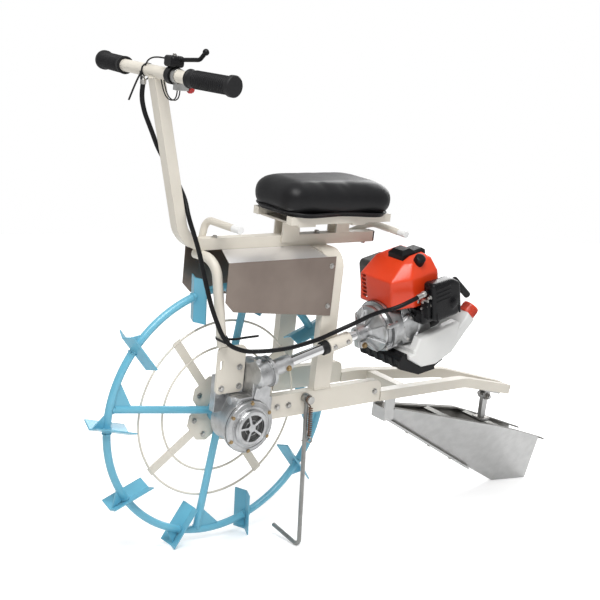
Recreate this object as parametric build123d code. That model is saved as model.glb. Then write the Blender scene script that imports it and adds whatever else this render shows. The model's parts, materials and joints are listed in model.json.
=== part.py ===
from build123d import *
import os
from math import atan2, cos, degrees, radians, sin, sqrt, tan

# Riding paddy ditcher: one lugged wheel under a saddle, driven by a small engine through a side gearbox,
# with a boat-shaped plough plate trailing behind.
# Everything is drawn upright about the axle: X forward, Y to the rider's left, Z up, in millimetres.
# At the end the whole machine is leaned onto its side stand, as it parks.

# Fits
FIT = 0.2            # gap left where one welded or bolted piece is cut to another
RUNNING = 0.05       # radial clearance of a shaft in its bore

# Steps by which the parked machine is brought to rest on the ground
GROUND_STEPS = 12
SETTLE_STEPS = 40

# Wheel
RING_RADIUS = 290.0      # centre line of the rim tube
RIM_TUBE = 17.3          # rim and spoke tube diameter
LUG_COUNT = 10
LUG_LENGTH = 100.0
LUG_WIDTH = 58.0
LUG_PLATE = 3.2
LUG_FOLD = 12.0          # depth of the lug's V fold
LUG_INSET = 8.0          # lug's middle inside the rim's centre line
LUG_RAKE = 16.0          # lug's long side turned from the radius
LUG_GUSSET = 4.0
LUG_GUSSET_TURN = 9.0    # along the rim, degrees
SPOKE_COUNT = 4
SPOKE_LEAD = -8.6        # first spoke's angle past a lug
SPOKE_GUSSET_RUN = 56.0  # along the spoke
SPOKE_GUSSET_TURN = 13.5 # along the rim, degrees
HUB_RADIUS = 32.0
HUB_INNER_Y = -24.0
HUB_OUTER_Y = 28.0
AXLE_RADIUS = 10.0
AXLE_END_Y = 82.0
AXLE_NUT_RADIUS = 18.0
AXLE_NUT_LONG = 14.0
AXLE_GAP = 2.0           # axle's end to the bottom of its bore
GUARD_OUTER = 207.5      # wire guard's rings
GUARD_INNER = 148.0
GUARD_WIRE = 5.0
GUARD_PLATE = 3.0
GUARD_BAR_WIDTH = 20.0
GUARD_Y = -11.5
GUARD_DISC = 46.0
GUARD_LOBE_OUT = 84.0     # hub plate's lobes: reach, half width and half width of the tip
GUARD_LOBE_HALF = 40.0
GUARD_LOBE_TIP = 22.0

# Main tube: column and top beam bent from one square tube
BEAM_SIDE = 25.0
BEAM_WALL = 2.0
BEAM_HEIGHT = 390.0      # beam's centre line above the axle
BEAM_REAR = -385.0
BEAM_BEND_X = 140.0
BEAM_BEND_RADIUS = 60.0
BAR_X = 232.0            # handlebar's centre line
BAR_HEIGHT = 744.0
BAR_DIAMETER = 25.4
BAR_WALL = 2.0
BAR_HALF = 246.0
BAR_SWEEP = 8.0          # grips swept back, degrees
BAR_BEND_RADIUS = 60.0
GRIP_LENGTH = 122.0
BAR_BEND_IN = 9.0        # bar's bend inside the grip's inner end
BAR_STRAIGHT = BAR_HALF - GRIP_LENGTH - BAR_BEND_IN
GRIP_RADIUS = 16.5
GRIP_FLANGE = 20.5
GRIP_END = 5.0

# Saddle
SEAT_FRONT = -78.0
SEAT_LENGTH = 290.0
SEAT_FRONT_HALF = 78.0     # half width at the front and at the rear
SEAT_REAR_HALF = 102.0
SEAT_THICK = 72.0
SEAT_CORNER = 40.0        # corner in plan, top edge and bottom edge
SEAT_TOP_ROUND = 31.0
SEAT_LOW_ROUND = 9.0
SEAT_CLEAR = 0.3
SEAT_BAR = 18.0
SEAT_BAR_Y = 62.0
SEAT_BAR_FRONT = -90.0
SEAT_BAR_REAR = -380.0
SEAT_CROSS = 5.0
SEAT_POST_RISE = 30.0
SEAT_POST_WALL = 4.0
# front and rear saddle posts: name, centre x, length along the beam, reach below the beam's top
SEAT_POSTS = [("front", -135.0, 48.0, 16.0), ("rear", -285.0, 38.0, 0.0)]

# Rear arch that straddles the wheel
POST_X = -218.0
POST_LONG = 48.0
POST_DEEP = 20.0
POST_WALL = 2.5
POST_Y = 75.0            # centre of each post
ARCH_RADIUS = 32.0

# Fork on the left side
FORK_TUBE = 22.0
FORK_WALL = 2.0
FORK_BEND = 40.0
FORK_TOP_X = 96.0
FORK_REACH_X = 88.0
FORK_FOOT_X = 60.0
FORK_PLATE_Y = 67.0
FORK_PLATE = 5.0
FORK_PLATE_TOP = 176.0
FORK_PLATE_BOTTOM = 68.0
FORK_PLATE_FRONT = 70.0
FORK_PLATE_REAR = -3.0
FORK_PLATE_CORNER = 12.0
FORK_HOLE = 3.2
# bolt holes of the fork plate: from its rear edge, above its bottom
FORK_HOLES = [(14.0, 58.0), (12.0, 14.0), (58.0, 13.0)]
FORK_SLOT = (22.0, 7.0)     # slot's length and width, and its place by the same two measures
FORK_SLOT_AT = (62.0, 66.0)

# Sheet guards each side of the wheel's top
SHEET = 2.0
SHEET_FRONT = 75.0
SHEET_FOLD_DOWN = 11.0     # fold line below the beam's underside
SHEET_SLANT = 29.0         # front edge of the top, drawn back at the beam
SHEET_LOW_FRONT = 258.0
SHEET_LOW_REAR = 228.0
SHEET_CORNER = 22.0
SHEET_LAP = 22.0           # lap on the rear post

# Lower frame
RAIL_DEEP = 55.0
RAIL_WIDE = 20.0
RAIL_BOTTOM = -4.0
RAIL_FRONT = -75.0
RAIL_REAR = -405.0
RAIL_RIGHT_FRONT = -195.0
RAIL_WALL = 2.5
TAIL_SIDE = 25.0
TAIL_WALL = 2.0
TAIL_STRAIGHT = 60.0
TAIL_BEND = (-735.0, 43.0, -9.0)
TAIL_END = (-950.0, 14.5, -65.0)
TAIL_BEND_RADIUS = 180.0
CROSS_X = -500.0

# Side stand
STAND_X = -168.0
STAND_HEIGHT = 38.0
STAND_ROD = 10.0
STAND_EYE = 11.0
STAND_EYE_WIDE = 14.0
STAND_PIN = 6.0
STAND_FOOT = (-138.0, 160.0, -296.0)   # where the rod's two runs meet
STAND_FOOT_IN = 100.0
STAND_FOOT_RISE = 10.0
STAND_BEND = 12.0
STAND_GAP = 2.0
STAND_HOOK_GAP = 4.0     # spring's hook past the stand's eye
STAND_RING = 6.5
STAND_RING_WIRE = 4.0
SPRING_RADIUS = 5.5
SPRING_LENGTH = 64.0
SPRING_DOWN = 18.0       # top of the coil below the pivot
SPRING_WIRE = 3.0

# Gearbox
NECK_INNER_Y = 33.0
NECK_RADIUS = 24.0
DRUM_RADIUS = 53.0
DRUM_INNER_Y = 38.0
DRUM_OUTER_Y = 106.0
DRUM_FLANGE = 9.0        # flange that carries the cover
COVER_RADIUS = 60.0
COVER_DEEP = 19.0
COVER_EDGE = 7.0
COVER_STEP = 4.0
COVER_SHOULDER = 50.0    # radii of the cover's raised ring
COVER_RING_OUT = 42.0
COVER_RING_IN = 31.0
COVER_HUB = 9.0
COVER_RIBS = 5
COVER_RIB = 5.0
ARM_INNER_Y = 50.0
ARM_OUTER_Y = 104.0
ARM_TOP_X = -24.0
ARM_TOP_Z = 112.0
ARM_TOP_RADIUS = 30.0
ARM_RIB = 5.0            # half width and height of the rib down the arm
PAD_LOW = 26.0           # pad behind the fork plate: its bottom, and its rise above the plate's bottom
PAD_RISE = 40.0
PAD_INSET = 4.0
TONGUE_IN = 55.0         # tongue that meets the lower rail, into the case
BOSS_RADIUS = 9.0        # cross boss under the fork plate
BOSS_FRONT = 42.0
BOSS_REAR = -20.0
BOSS_Y = 86.0
BOSS_Z = 58.0
PLUG_RADIUS = 9.5        # oil plug on the gear head
PLUG_AT = 22.0
PLUG_TOP = 39.0

# Drive: the axis runs back and up from above the axle, and distances along it count rearwards
DRIVE_PITCH = 13.5
DRIVE_Y = 102.0
DRIVE_RISE = 111.0       # drive axis above the axle, measured over the axle
DRIVE_TUBE = 24.0
DRIVE_TUBE_WALL = 1.6
HEAD_START = 2.0
HEAD_END = 48.0
HEAD_RADIUS = 30.0
HEAD_FLANGE = 35.0
HEAD_FLANGE_LONG = 9.0
HEAD_ROUND = 7.0
SOCKET_RADIUS = 18.5
SOCKET_END = 102.0
TUBE_START = 72.0
TUBE_END = 322.0
CLAMP_START = 211.0
CLAMP_END = 272.0
CLAMP_RADIUS = 16.5
CLAMP_FOOT = 5.0
CLAMP_FOOT_HALF = 14.0
CLAMP_FOOT_INSET = (3.0, 20.0)   # foot's ends inside the clamp's
BAND_LONG = 14.0
BAND_GAP = 2.0
BAND_RADIUS = 16.0

# Engine
CLUTCH_START = 296.0
CLUTCH_NECK = 6.0        # neck's wall round the drive tube
CLUTCH_END = 400.0
# clutch housing behind its neck: distance past the tube's end, radius
BELL_PROFILE = [
    (5.0, 22.0), (18.0, 47.0), (20.0, 55.0), (26.0, 55.0), (27.0, 50.0),
    (38.0, 53.0), (39.0, 62.0), (46.0, 62.0), (47.0, 58.0),
]
BELL_BOSS = 7.0
BELL_BOSS_AT = 57.0
BELL_BOSS_ANGLES = (18.0, 162.0, 222.0, 318.0)
BELL_BOSS_LONG = 30.0
NECK_LUG = (20.0, 16.0, 14.0)     # clamp lug under the neck: along, across, down
FAN_RADIUS = 58.0
CASE_END = 488.0
CASE_HALF = 44.0
CASE_LOW = -50.0
CASE_HIGH = 46.0
CASE_ROUND = 8.0
CYLINDER_TOP = 122.0
CYLINDER_HALF = 28.0
FIN_HALF = 38.0
FIN_COUNT = 6
FIN_PITCH = 12.0
FIN_THICK = 5.0
FIN_START = 6.0
# engine cover's levels: height, front, shoulder, rear, right, crease and left
COVER_LEVELS = [
    (48.0, 370.0, 418.0, 497.0, -68.0, 44.0, 72.0),
    (118.0, 370.0, 414.0, 497.0, -60.0, 48.0, 70.0),
    (150.0, 416.0, 432.0, 490.0, -56.0, 40.0, 56.0),
    (161.0, 438.0, 446.0, 480.0, -36.0, 26.0, 32.0),
]
COVER_WALL = 3.0
COVER_SLOTS = 6
COVER_SLOT_PITCH = 10.0
COVER_SLOT = (14.0, 5.0)          # width and height of a slot
COVER_SLOT_START = 60.0
# vent on the cover's top: front and rear hood, each as distances, right, left, height and bevel
VENT_HOODS = [(422.0, 462.0, -16.0, 34.0, 174.0, 9.0), (448.0, 492.0, -6.0, 34.0, 167.0, 5.0)]
PLUG_CAP_AT = (452.0, 52.0, 146.0)
PLUG_CAP_OUT = (0.0, 0.6, 0.8)
PLUG_CAP_RADIUS = 13.0
PLUG_CAP_HIGH = 20.0
PLUG_CAP_ROUND = 5.0
MUFFLER_FRONT = 400.0
MUFFLER_REAR = 476.0
MUFFLER_RIGHT = -98.0
MUFFLER_LEFT = -59.0     # inside the cover's wall, which it is cut to
MUFFLER_LOW = 62.0
MUFFLER_HIGH = 132.0
MUFFLER_ROUND = 12.0
AIR_INNER = 82.0
AIR_OUTER = 117.0
# air cleaner's outline: distance along the drive and height beside it
AIR_OUTLINE = [
    (437.0, 20.0), (437.0, 110.0), (505.0, 106.0), (525.0, 92.0), (525.0, 26.0), (512.0, 14.0), (450.0, 14.0),
]
AIR_CORNER = 9.0
AIR_EDGE = 7.0
AIR_KNOB = 11.0
AIR_KNOB_AT = (497.0, 48.0)
AIR_KNOB_OUT = 6.0
INTAKE_FRONT = 430.0
INTAKE_REAR = 468.0
INTAKE_LOW = 2.0
INTAKE_HIGH = 40.0
STARTER_RADIUS = 52.0
STARTER_LONG = 40.0
STARTER_ROUND = 9.0
ROPE_BOSS = (20.0, 44.0, 26.0)    # boss for the starter's rope: past the housing, across, high
ROPE_BOSS_Y = 58.0
ROPE_BOSS_Z = 36.0
HANDLE_LONG = 70.0
HANDLE_RADIUS = 8.5
HANDLE_ROUND = 3.0
HANDLE_SLOPE = 52.0      # handle's long side turned down from the drive's axis, degrees
HANDLE_OUT = 26.0        # handle's middle past its boss
STEM_RADIUS = 4.5
TANK_RIGHT = -70.0
TANK_LEFT = 80.0
TANK_SHOULDER_Y = 58.0
TANK_ROUND = 6.0
TANK_DROP = 62.0         # tank's depth below the crankcase
TANK_AHEAD = 12.0        # tank's front under the clutch housing
TANK_NECK = (96.0, -16.0)   # neck's upper and lower corner: past the crankcase, height
TANK_NECK_LOW = (114.0, -41.0)
CAP_Y = 58.0
CAP_RADIUS = 20.0
CAP_LONG = 24.0
SKID_HALF = 72.0
SKID_GAP = 2.0           # between the skid and the tank
SKID_RIBS = 6
SKID_RIB_WIDE = 12.0
SKID_RIB_DEEP = 7.0
CONDUIT = 10.0

# Plough
PLOUGH_SHEET = 2.5
PLOUGH_HOLLOW = (-822.0, 0.0, -160.0)   # middle of the open hull
# plough sections: x, half width at the top, height of the top, half width at the bottom, height of the bottom
PLOUGH_SECTIONS = [
    (-520.0, 28.0, -60.0, 3.0, -95.0),
    (-850.0, 84.0, -136.0, 3.0, -286.0),
    (-960.0, 72.0, -172.0, 4.0, -347.0),
    (-1071.0, 58.0, -212.0, 30.0, -348.0),
]
KEEL_END = -850.0
KEEL_STRIP = 5.0
KEEL_HALF = 11.0
RIM_STRIP = 14.0
RIM_THICK = 4.0
RIM_PAST = 30.0          # rim strips run on past the hull's rear
BRACE_X = (-700.0, -880.0)
BRACE_HALF = 12.0
NOSE_HALF = 24.0
NOSE_FRONT = 12.0
HANGER_PLATE = 5.0
HITCH_X = -880.0
HITCH_Z = -80.0
HITCH_PLATE = 5.0
HITCH_PLATE_HALF = 32.0
HITCH_PLATE_WIDE = 54.0
HITCH_EAR = 11.0
HITCH_LINK_HALF = 6.0
HITCH_BOLT = 5.0
HITCH_BOLT_HALF = 22.0


def path_along(points, radius=None):
    """Straight runs joined by tangent arcs."""
    if len(points) == 2:
        return Line(*points)
    return FilletPolyline(*points, radius=radius)


def round_tube(points, radius, diameter, wall=0.0):
    path = path_along(points, radius)
    start = Plane(origin=path @ 0, z_dir=path % 0)
    section = start * Circle(diameter / 2)
    if wall:
        section -= start * Circle(diameter / 2 - wall)
    return sweep(section, path=path)


def box_tube(points, radius, wide, deep, wall, wide_along=(0, 1, 0)):
    path = path_along(points, radius)
    start = Plane(origin=path @ 0, x_dir=wide_along, z_dir=path % 0)
    section = start * Rectangle(wide, deep)
    section -= start * Rectangle(wide - 2 * wall, deep - 2 * wall)
    return sweep(section, path=path)


def block(x0, x1, y0, y1, z0, z1):
    return Pos((x0 + x1) / 2, (y0 + y1) / 2, (z0 + z1) / 2) * Box(abs(x1 - x0), abs(y1 - y0), abs(z1 - z0))


def rod_y(x, z, y0, y1, radius):
    return Pos(x, (y0 + y1) / 2, z) * Rot(90, 0, 0) * Cylinder(radius, abs(y1 - y0))


def plate_xz(points, y0, y1):
    """Flat plate standing in the wheel's plane, from its outline in X and Z."""
    outline = Plane.XZ * make_face(Polyline(*points, close=True))
    return Pos(0, y1, 0) * extrude(outline, y1 - y0)


def on_wheel(angle):
    """Turn about the axle, from +X towards +Z."""
    return Rot(0, -angle, 0)


def mirrored(part):
    return mirror(part, about=Plane.XZ)


# Where the machine touches the ground

LUG_CENTRE = RING_RADIUS - LUG_INSET
LUG_PITCH = 360.0 / LUG_COUNT


def lug_point(along, across):
    """A point of a lug's profile in the wheel's plane, for the lug at angle zero."""
    rake = radians(LUG_RAKE)
    outward = LUG_CENTRE + along * cos(rake) - across * sin(rake)
    return Vector(outward, 0, along * sin(rake) + across * cos(rake))


# outer end of a lug, as points that can touch the ground: the left end of its V fold and the fold's middle
LUG_TIPS = []
for fold in (0, LUG_PLATE):
    LUG_TIPS.append(lug_point(LUG_LENGTH / 2, LUG_FOLD / 2 + fold) + Vector(0, LUG_WIDTH / 2, 0))
    LUG_TIPS.append(lug_point(LUG_LENGTH / 2, fold - LUG_FOLD / 2))


def lowest_tip(ground_up, phase):
    """The lug tip that lies lowest along a given upward direction, of the two lugs next to the ground."""
    tips = [tip.rotate(Axis.Y, turn - phase) for tip in LUG_TIPS for turn in (0, LUG_PITCH)]
    return min(tips, key=ground_up.dot)


def settled_phase(ground_up):
    """The wheel's angle, from one lug straight down to the next, at which its axle lies lowest."""
    first = -90.0
    last = first + LUG_PITCH
    for _ in range(SETTLE_STEPS):
        third = (last - first) / 3
        early = lowest_tip(ground_up, first + third)
        late = lowest_tip(ground_up, last - third)
        if early.dot(ground_up) > late.dot(ground_up):
            last -= third
        else:
            first += third
    return first


RAIL_TOP = RAIL_BOTTOM + RAIL_DEEP
RAIL_Y = POST_Y
STAND_FACE = RAIL_Y + RAIL_WIDE / 2
STAND_Y = STAND_FACE + STAND_GAP + STAND_EYE_WIDE / 2
STAND_TOP = Vector(STAND_X, STAND_Y, STAND_HEIGHT)
STAND_BOTTOM = Vector(*STAND_FOOT)
STAND_TOE = STAND_BOTTOM + Vector(0, -STAND_FOOT_IN, STAND_FOOT_RISE)


def stand_lowest(ground_up):
    """The point of the stand's bend that lies lowest along a given upward direction."""
    inward = (STAND_TOE - STAND_BOTTOM).normalized()
    upward = (STAND_TOP - STAND_BOTTOM).normalized()
    half_turn = radians(inward.get_angle(upward)) / 2
    centre = STAND_BOTTOM + (inward + upward).normalized() * (STAND_BEND / sin(half_turn))
    normal = inward.cross(upward).normalized()
    down = ground_up * -1
    in_bend = (down - normal * down.dot(normal)).normalized()
    return centre + in_bend * STAND_BEND + down * (STAND_ROD / 2)


plough_rear = PLOUGH_SECTIONS[-1]
plough_corner = Vector(plough_rear[0], plough_rear[3], plough_rear[4])
ground_up = Vector(0, 0, 1)
for _ in range(GROUND_STEPS):
    WHEEL_PHASE = settled_phase(ground_up)
    lug_contact = lowest_tip(ground_up, WHEEL_PHASE)
    ground_up = (stand_lowest(ground_up) - lug_contact).cross(plough_corner - lug_contact).normalized()
    if ground_up.Z < 0:
        ground_up = ground_up * -1
ground_forward = Vector(1, 0, 0) - ground_up * ground_up.X
GROUND = Plane(origin=lug_contact, x_dir=ground_forward, z_dir=ground_up)

drive_down = radians(DRIVE_PITCH)
DRIVE = Plane(
    origin=(0, DRIVE_Y, DRIVE_RISE),
    x_dir=(cos(drive_down), 0, -sin(drive_down)),
    z_dir=(sin(drive_down), 0, cos(drive_down)),
)


def drive_turned(profile):
    """Turn a profile of (distance behind the drive origin, radius) about the drive axis."""
    face = make_face(Polyline(*[(-d, r) for d, r in profile], close=True))
    return DRIVE * revolve(face, axis=Axis.X)


def drive_block(d0, d1, y0, y1, z0, z1):
    """Box in the drive's frame: distance behind its origin, left of it and above it."""
    return block(-d1, -d0, y0, y1, z0, z1)


parts = {}

# Wheel

def lug():
    half = LUG_WIDTH / 2
    low = -LUG_FOLD / 2
    high = LUG_FOLD / 2
    fold = [
        (-half, high), (0, low), (half, high),
        (half, high + LUG_PLATE), (0, low + LUG_PLATE), (-half, high + LUG_PLATE),
    ]
    face = Plane.YZ * make_face(Polyline(*fold, close=True))
    plate = extrude(face, LUG_LENGTH / 2, both=True)
    plate = Pos(LUG_CENTRE, 0, 0) * on_wheel(LUG_RAKE) * plate
    root = lug_point(LUG_FOLD, LUG_PLATE)
    tip = lug_point((LUG_LENGTH - LUG_FOLD) / 2, -LUG_FOLD / 2 + LUG_PLATE)
    rim_angle = radians(LUG_GUSSET_TURN)
    on_rim = (RING_RADIUS * cos(rim_angle), RING_RADIUS * sin(rim_angle))
    web = plate_xz([(root.X, root.Z), (tip.X, tip.Z), on_rim], -LUG_GUSSET / 2, LUG_GUSSET / 2)
    return plate + web


def wheel_rim():
    rim = Rot(90, 0, 0) * Torus(RING_RADIUS, RIM_TUBE / 2)
    one = lug()
    for i in range(LUG_COUNT):
        rim += on_wheel(WHEEL_PHASE + i * LUG_PITCH) * one
    return rim


def wheel_spokes():
    hub = rod_y(0, 0, HUB_INNER_Y, HUB_OUTER_Y, HUB_RADIUS)
    spoke = Pos(RING_RADIUS / 2, 0, 0) * Rot(0, 90, 0) * Cylinder(RIM_TUBE / 2, RING_RADIUS)
    inner = RING_RADIUS - SPOKE_GUSSET_RUN
    turn = radians(SPOKE_GUSSET_TURN)
    for i in range(SPOKE_COUNT):
        angle = SPOKE_LEAD + i * 360.0 / SPOKE_COUNT
        past_lug = (angle + LUG_PITCH / 2) % LUG_PITCH - LUG_PITCH / 2
        side = 1 if past_lug > 0 else -1
        corner = (RING_RADIUS * cos(turn), side * RING_RADIUS * sin(turn))
        gusset = plate_xz([(inner, 0), (RING_RADIUS, 0), corner], -LUG_GUSSET / 2, LUG_GUSSET / 2)
        hub += on_wheel(WHEEL_PHASE + angle) * (spoke + gusset)
    hub -= Rot(90, 0, 0) * Torus(RING_RADIUS, RIM_TUBE / 2 + FIT)
    return hub - rod_y(0, 0, HUB_INNER_Y, HUB_OUTER_Y, AXLE_RADIUS + RUNNING)


def wheel_axle():
    axle = rod_y(0, 0, HUB_INNER_Y - AXLE_NUT_LONG, AXLE_END_Y, AXLE_RADIUS)
    nut = extrude(Plane.XZ * RegularPolygon(AXLE_NUT_RADIUS, 6), AXLE_NUT_LONG)
    return axle + Pos(0, HUB_INNER_Y - FIT, 0) * nut


def wheel_guard():
    low = GUARD_Y - GUARD_PLATE / 2
    high = GUARD_Y + GUARD_PLATE / 2
    guard = rod_y(0, 0, low, high, GUARD_DISC)
    bar = block(HUB_RADIUS, GUARD_OUTER + GUARD_WIRE, low, high, -GUARD_BAR_WIDTH / 2, GUARD_BAR_WIDTH / 2)
    shoulder = GUARD_LOBE_OUT + GUARD_LOBE_TIP - GUARD_LOBE_HALF
    half_lobe = [(HUB_RADIUS, GUARD_LOBE_HALF), (shoulder, GUARD_LOBE_HALF), (GUARD_LOBE_OUT, GUARD_LOBE_TIP)]
    bar += plate_xz(half_lobe + [(x, -z) for x, z in reversed(half_lobe)], low, high)
    for i in range(SPOKE_COUNT):
        guard += on_wheel(WHEEL_PHASE + SPOKE_LEAD + (i + 0.5) * 360.0 / SPOKE_COUNT) * bar
    for radius in (GUARD_INNER, GUARD_OUTER):
        guard += Pos(0, GUARD_Y, 0) * Rot(90, 0, 0) * Torus(radius, GUARD_WIRE / 2)
    return guard - rod_y(0, 0, low - GUARD_PLATE, high + GUARD_PLATE, HUB_RADIUS + FIT)


parts["wheel_rim"] = wheel_rim()
parts["wheel_spokes"] = wheel_spokes()
parts["wheel_axle"] = wheel_axle()
parts["wheel_guard"] = wheel_guard()

# Main tube, handlebar and grips

BEAM_TOP = BEAM_HEIGHT + BEAM_SIDE / 2
BEAM_UNDER = BEAM_HEIGHT - BEAM_SIDE / 2
BEAM_PLUG_IN = 14.0
BEAM_PLUG_CAP = 4.0
BEAM_PLUG_ROUND = 3.0
bar_back = tan(radians(BAR_SWEEP)) * (BAR_HALF - BAR_STRAIGHT)


def main_tube():
    route = [(BEAM_REAR, 0, BEAM_HEIGHT), (BEAM_BEND_X, 0, BEAM_HEIGHT), (BAR_X, 0, BAR_HEIGHT)]
    tube = box_tube(route, BEAM_BEND_RADIUS, BEAM_SIDE, BEAM_SIDE, BEAM_WALL)
    return tube - rod_y(BAR_X, BAR_HEIGHT, -BEAM_SIDE, BEAM_SIDE, BAR_DIAMETER / 2 + FIT)


def beam_plug():
    side = BEAM_SIDE - 2 * BEAM_WALL - 2 * FIT
    low = BEAM_HEIGHT - side / 2
    plug = block(BEAM_REAR, BEAM_REAR + BEAM_PLUG_IN, -side / 2, side / 2, low, low + side)
    half = BEAM_SIDE / 2
    cap = block(BEAM_REAR - BEAM_PLUG_CAP, BEAM_REAR, -half, half, BEAM_UNDER, BEAM_TOP)
    return fillet(cap.edges().filter_by(Axis.X), BEAM_PLUG_ROUND) + plug


def handlebar():
    route = [
        (BAR_X - bar_back, -BAR_HALF, BAR_HEIGHT),
        (BAR_X, -BAR_STRAIGHT, BAR_HEIGHT),
        (BAR_X, BAR_STRAIGHT, BAR_HEIGHT),
        (BAR_X - bar_back, BAR_HALF, BAR_HEIGHT),
    ]
    return round_tube(route, BAR_BEND_RADIUS, BAR_DIAMETER, BAR_WALL)


def grip():
    """Rubber grip on the left end of the handlebar, closed over its end."""
    sweep_back = radians(BAR_SWEEP)
    end_at = (BAR_X - bar_back, BAR_HALF, BAR_HEIGHT)
    end = Plane(origin=end_at, z_dir=(sin(sweep_back), -cos(sweep_back), 0))
    flange = GRIP_FLANGE
    body = GRIP_RADIUS
    bore = BAR_DIAMETER / 2 + RUNNING
    profile = [
        (0, -GRIP_END), (flange - 2, -GRIP_END), (flange, 2 - GRIP_END), (flange, 5), (body, 10),
        (body, GRIP_LENGTH - 6), (flange - 2, GRIP_LENGTH - 3), (flange - 2, GRIP_LENGTH), (bore, GRIP_LENGTH),
        (bore, 0), (0, 0),
    ]
    face = Plane.XZ * make_face(Polyline(*profile, close=True))
    return end * revolve(face, axis=Axis.Z)


parts["main_tube"] = main_tube()
parts["beam_plug"] = beam_plug()
parts["handlebar"] = handlebar()
parts["grip_left"] = grip()
parts["grip_right"] = mirrored(grip())

# Controls on the handlebar

LEVER_IN = 49.0          # lever's clamp inside the bar's bend
LEVER_Y = BAR_STRAIGHT - LEVER_IN
LEVER_CLAMP = 16.0
LEVER_CLAMP_WALL = 5.0
LEVER_BODY = (30.0, 34.0, 22.0)
LEVER_BODY_RISE = 26.5
LEVER_ROUND = 6.0
LEVER_BLADE = 8.5
LEVER_BEND = 14.0
LEVER_BALL = 6.5
# lever's blade from its pivot: offsets from the handlebar's centre line over the clamp
LEVER_ROUTE = [(-2.0, 6.0, 30.0), (-18.0, 62.0, 36.0), (-20.0, 78.0, 52.0)]


def throttle_lever():
    """Clamp on the handlebar with a rounded body over it, and a blade that hooks up at its end."""
    over = Vector(BAR_X, LEVER_Y, BAR_HEIGHT)
    outer = BAR_DIAMETER / 2 + LEVER_CLAMP_WALL
    lever = rod_y(BAR_X, BAR_HEIGHT, LEVER_Y - LEVER_CLAMP / 2, LEVER_Y + LEVER_CLAMP / 2, outer)
    body = Box(*LEVER_BODY)
    lever += Pos(BAR_X, LEVER_Y, BAR_HEIGHT + LEVER_BODY_RISE) * fillet(body.edges(), LEVER_ROUND)
    route = [tuple(over + Vector(*point)) for point in LEVER_ROUTE]
    lever += round_tube(route, LEVER_BEND, LEVER_BLADE)
    lever += Pos(*route[-1]) * Sphere(LEVER_BALL)
    return lever - rod_y(BAR_X, BAR_HEIGHT, LEVER_Y - 2 * outer, LEVER_Y + 2 * outer, BAR_DIAMETER / 2 + FIT)


SWITCH_IN = 32.0         # switch's strap inside the bar's bend
SWITCH_Y = BAR_STRAIGHT - SWITCH_IN
SWITCH_STRAP = 12.0
SWITCH_STRAP_WALL = 2.0
SWITCH_BODY = (26.0, 16.0, 13.0)
SWITCH_BODY_BACK = 9.0
SWITCH_BODY_DOWN = 7.5
SWITCH_BUTTON = 5.0
SWITCH_BUTTON_OUT = 9.0


def stop_switch():
    """Strap round the handlebar with the switch's body under it and a round button at its rear."""
    radius = BAR_DIAMETER / 2
    half = SWITCH_STRAP / 2
    under = BAR_HEIGHT - radius - SWITCH_BODY_DOWN
    switch = rod_y(BAR_X, BAR_HEIGHT, SWITCH_Y - half, SWITCH_Y + half, radius + SWITCH_STRAP_WALL)
    switch += Pos(BAR_X - SWITCH_BODY_BACK, SWITCH_Y, under) * Box(*SWITCH_BODY)
    rear = BAR_X - SWITCH_BODY_BACK - SWITCH_BODY[0] / 2
    button = Cylinder(SWITCH_BUTTON, 2 * SWITCH_BUTTON_OUT)
    switch += Pos(rear, SWITCH_Y, under) * Rot(0, 90, 0) * button
    return switch - rod_y(BAR_X, BAR_HEIGHT, SWITCH_Y - SWITCH_STRAP, SWITCH_Y + SWITCH_STRAP, radius + FIT)


parts["throttle_lever"] = throttle_lever()
parts["stop_switch"] = stop_switch()

# Saddle

SEAT_CROSS_UNDER = BEAM_TOP + SEAT_POST_RISE
SEAT_BAR_UNDER = SEAT_CROSS_UNDER + SEAT_CROSS
SEAT_UNDER = SEAT_BAR_UNDER + SEAT_BAR + SEAT_CLEAR


def seat_frame():
    frame = Part()
    for side in (-1, 1):
        y = side * SEAT_BAR_Y
        half = SEAT_BAR / 2
        bar_top = SEAT_BAR_UNDER + SEAT_BAR
        frame += block(SEAT_BAR_REAR, SEAT_BAR_FRONT, y - half, y + half, SEAT_BAR_UNDER, bar_top)
    reach = SEAT_BAR_Y + SEAT_BAR / 2
    inside = BEAM_SIDE / 2 + FIT
    outside = inside + SEAT_POST_WALL
    for _, x, length, down in SEAT_POSTS:
        x0 = x - length / 2
        x1 = x + length / 2
        frame += block(x0, x1, -reach, reach, SEAT_CROSS_UNDER, SEAT_BAR_UNDER)
        post = block(x0, x1, -outside, outside, BEAM_TOP - down, SEAT_CROSS_UNDER)
        frame += post - block(x0, x1, -inside, inside, BEAM_TOP - down, SEAT_CROSS_UNDER)
    return frame


def seat_cushion():
    rear = SEAT_FRONT - SEAT_LENGTH
    plan = [
        (SEAT_FRONT, -SEAT_FRONT_HALF), (SEAT_FRONT, SEAT_FRONT_HALF),
        (rear, SEAT_REAR_HALF), (rear, -SEAT_REAR_HALF),
    ]
    pad = extrude(make_face(Polyline(*plan, close=True)), SEAT_THICK)
    pad = fillet(pad.edges().filter_by(Axis.Z), SEAT_CORNER)
    pad = fillet(pad.faces().sort_by(Axis.Z)[-1].edges(), SEAT_TOP_ROUND)
    pad = fillet(pad.faces().sort_by(Axis.Z)[0].edges(), SEAT_LOW_ROUND)
    return Pos(0, 0, SEAT_UNDER) * pad


parts["seat_frame"] = seat_frame()
parts["seat_cushion"] = seat_cushion()

# Lift handles: bent rods with plastic caps

LIFT_ROD = 16.0
LIFT_BEND = 20.0
LIFT_CAP = 24.0
LIFT_SIDE_Y = -(BEAM_SIDE / 2 + LIFT_ROD / 2)
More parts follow.
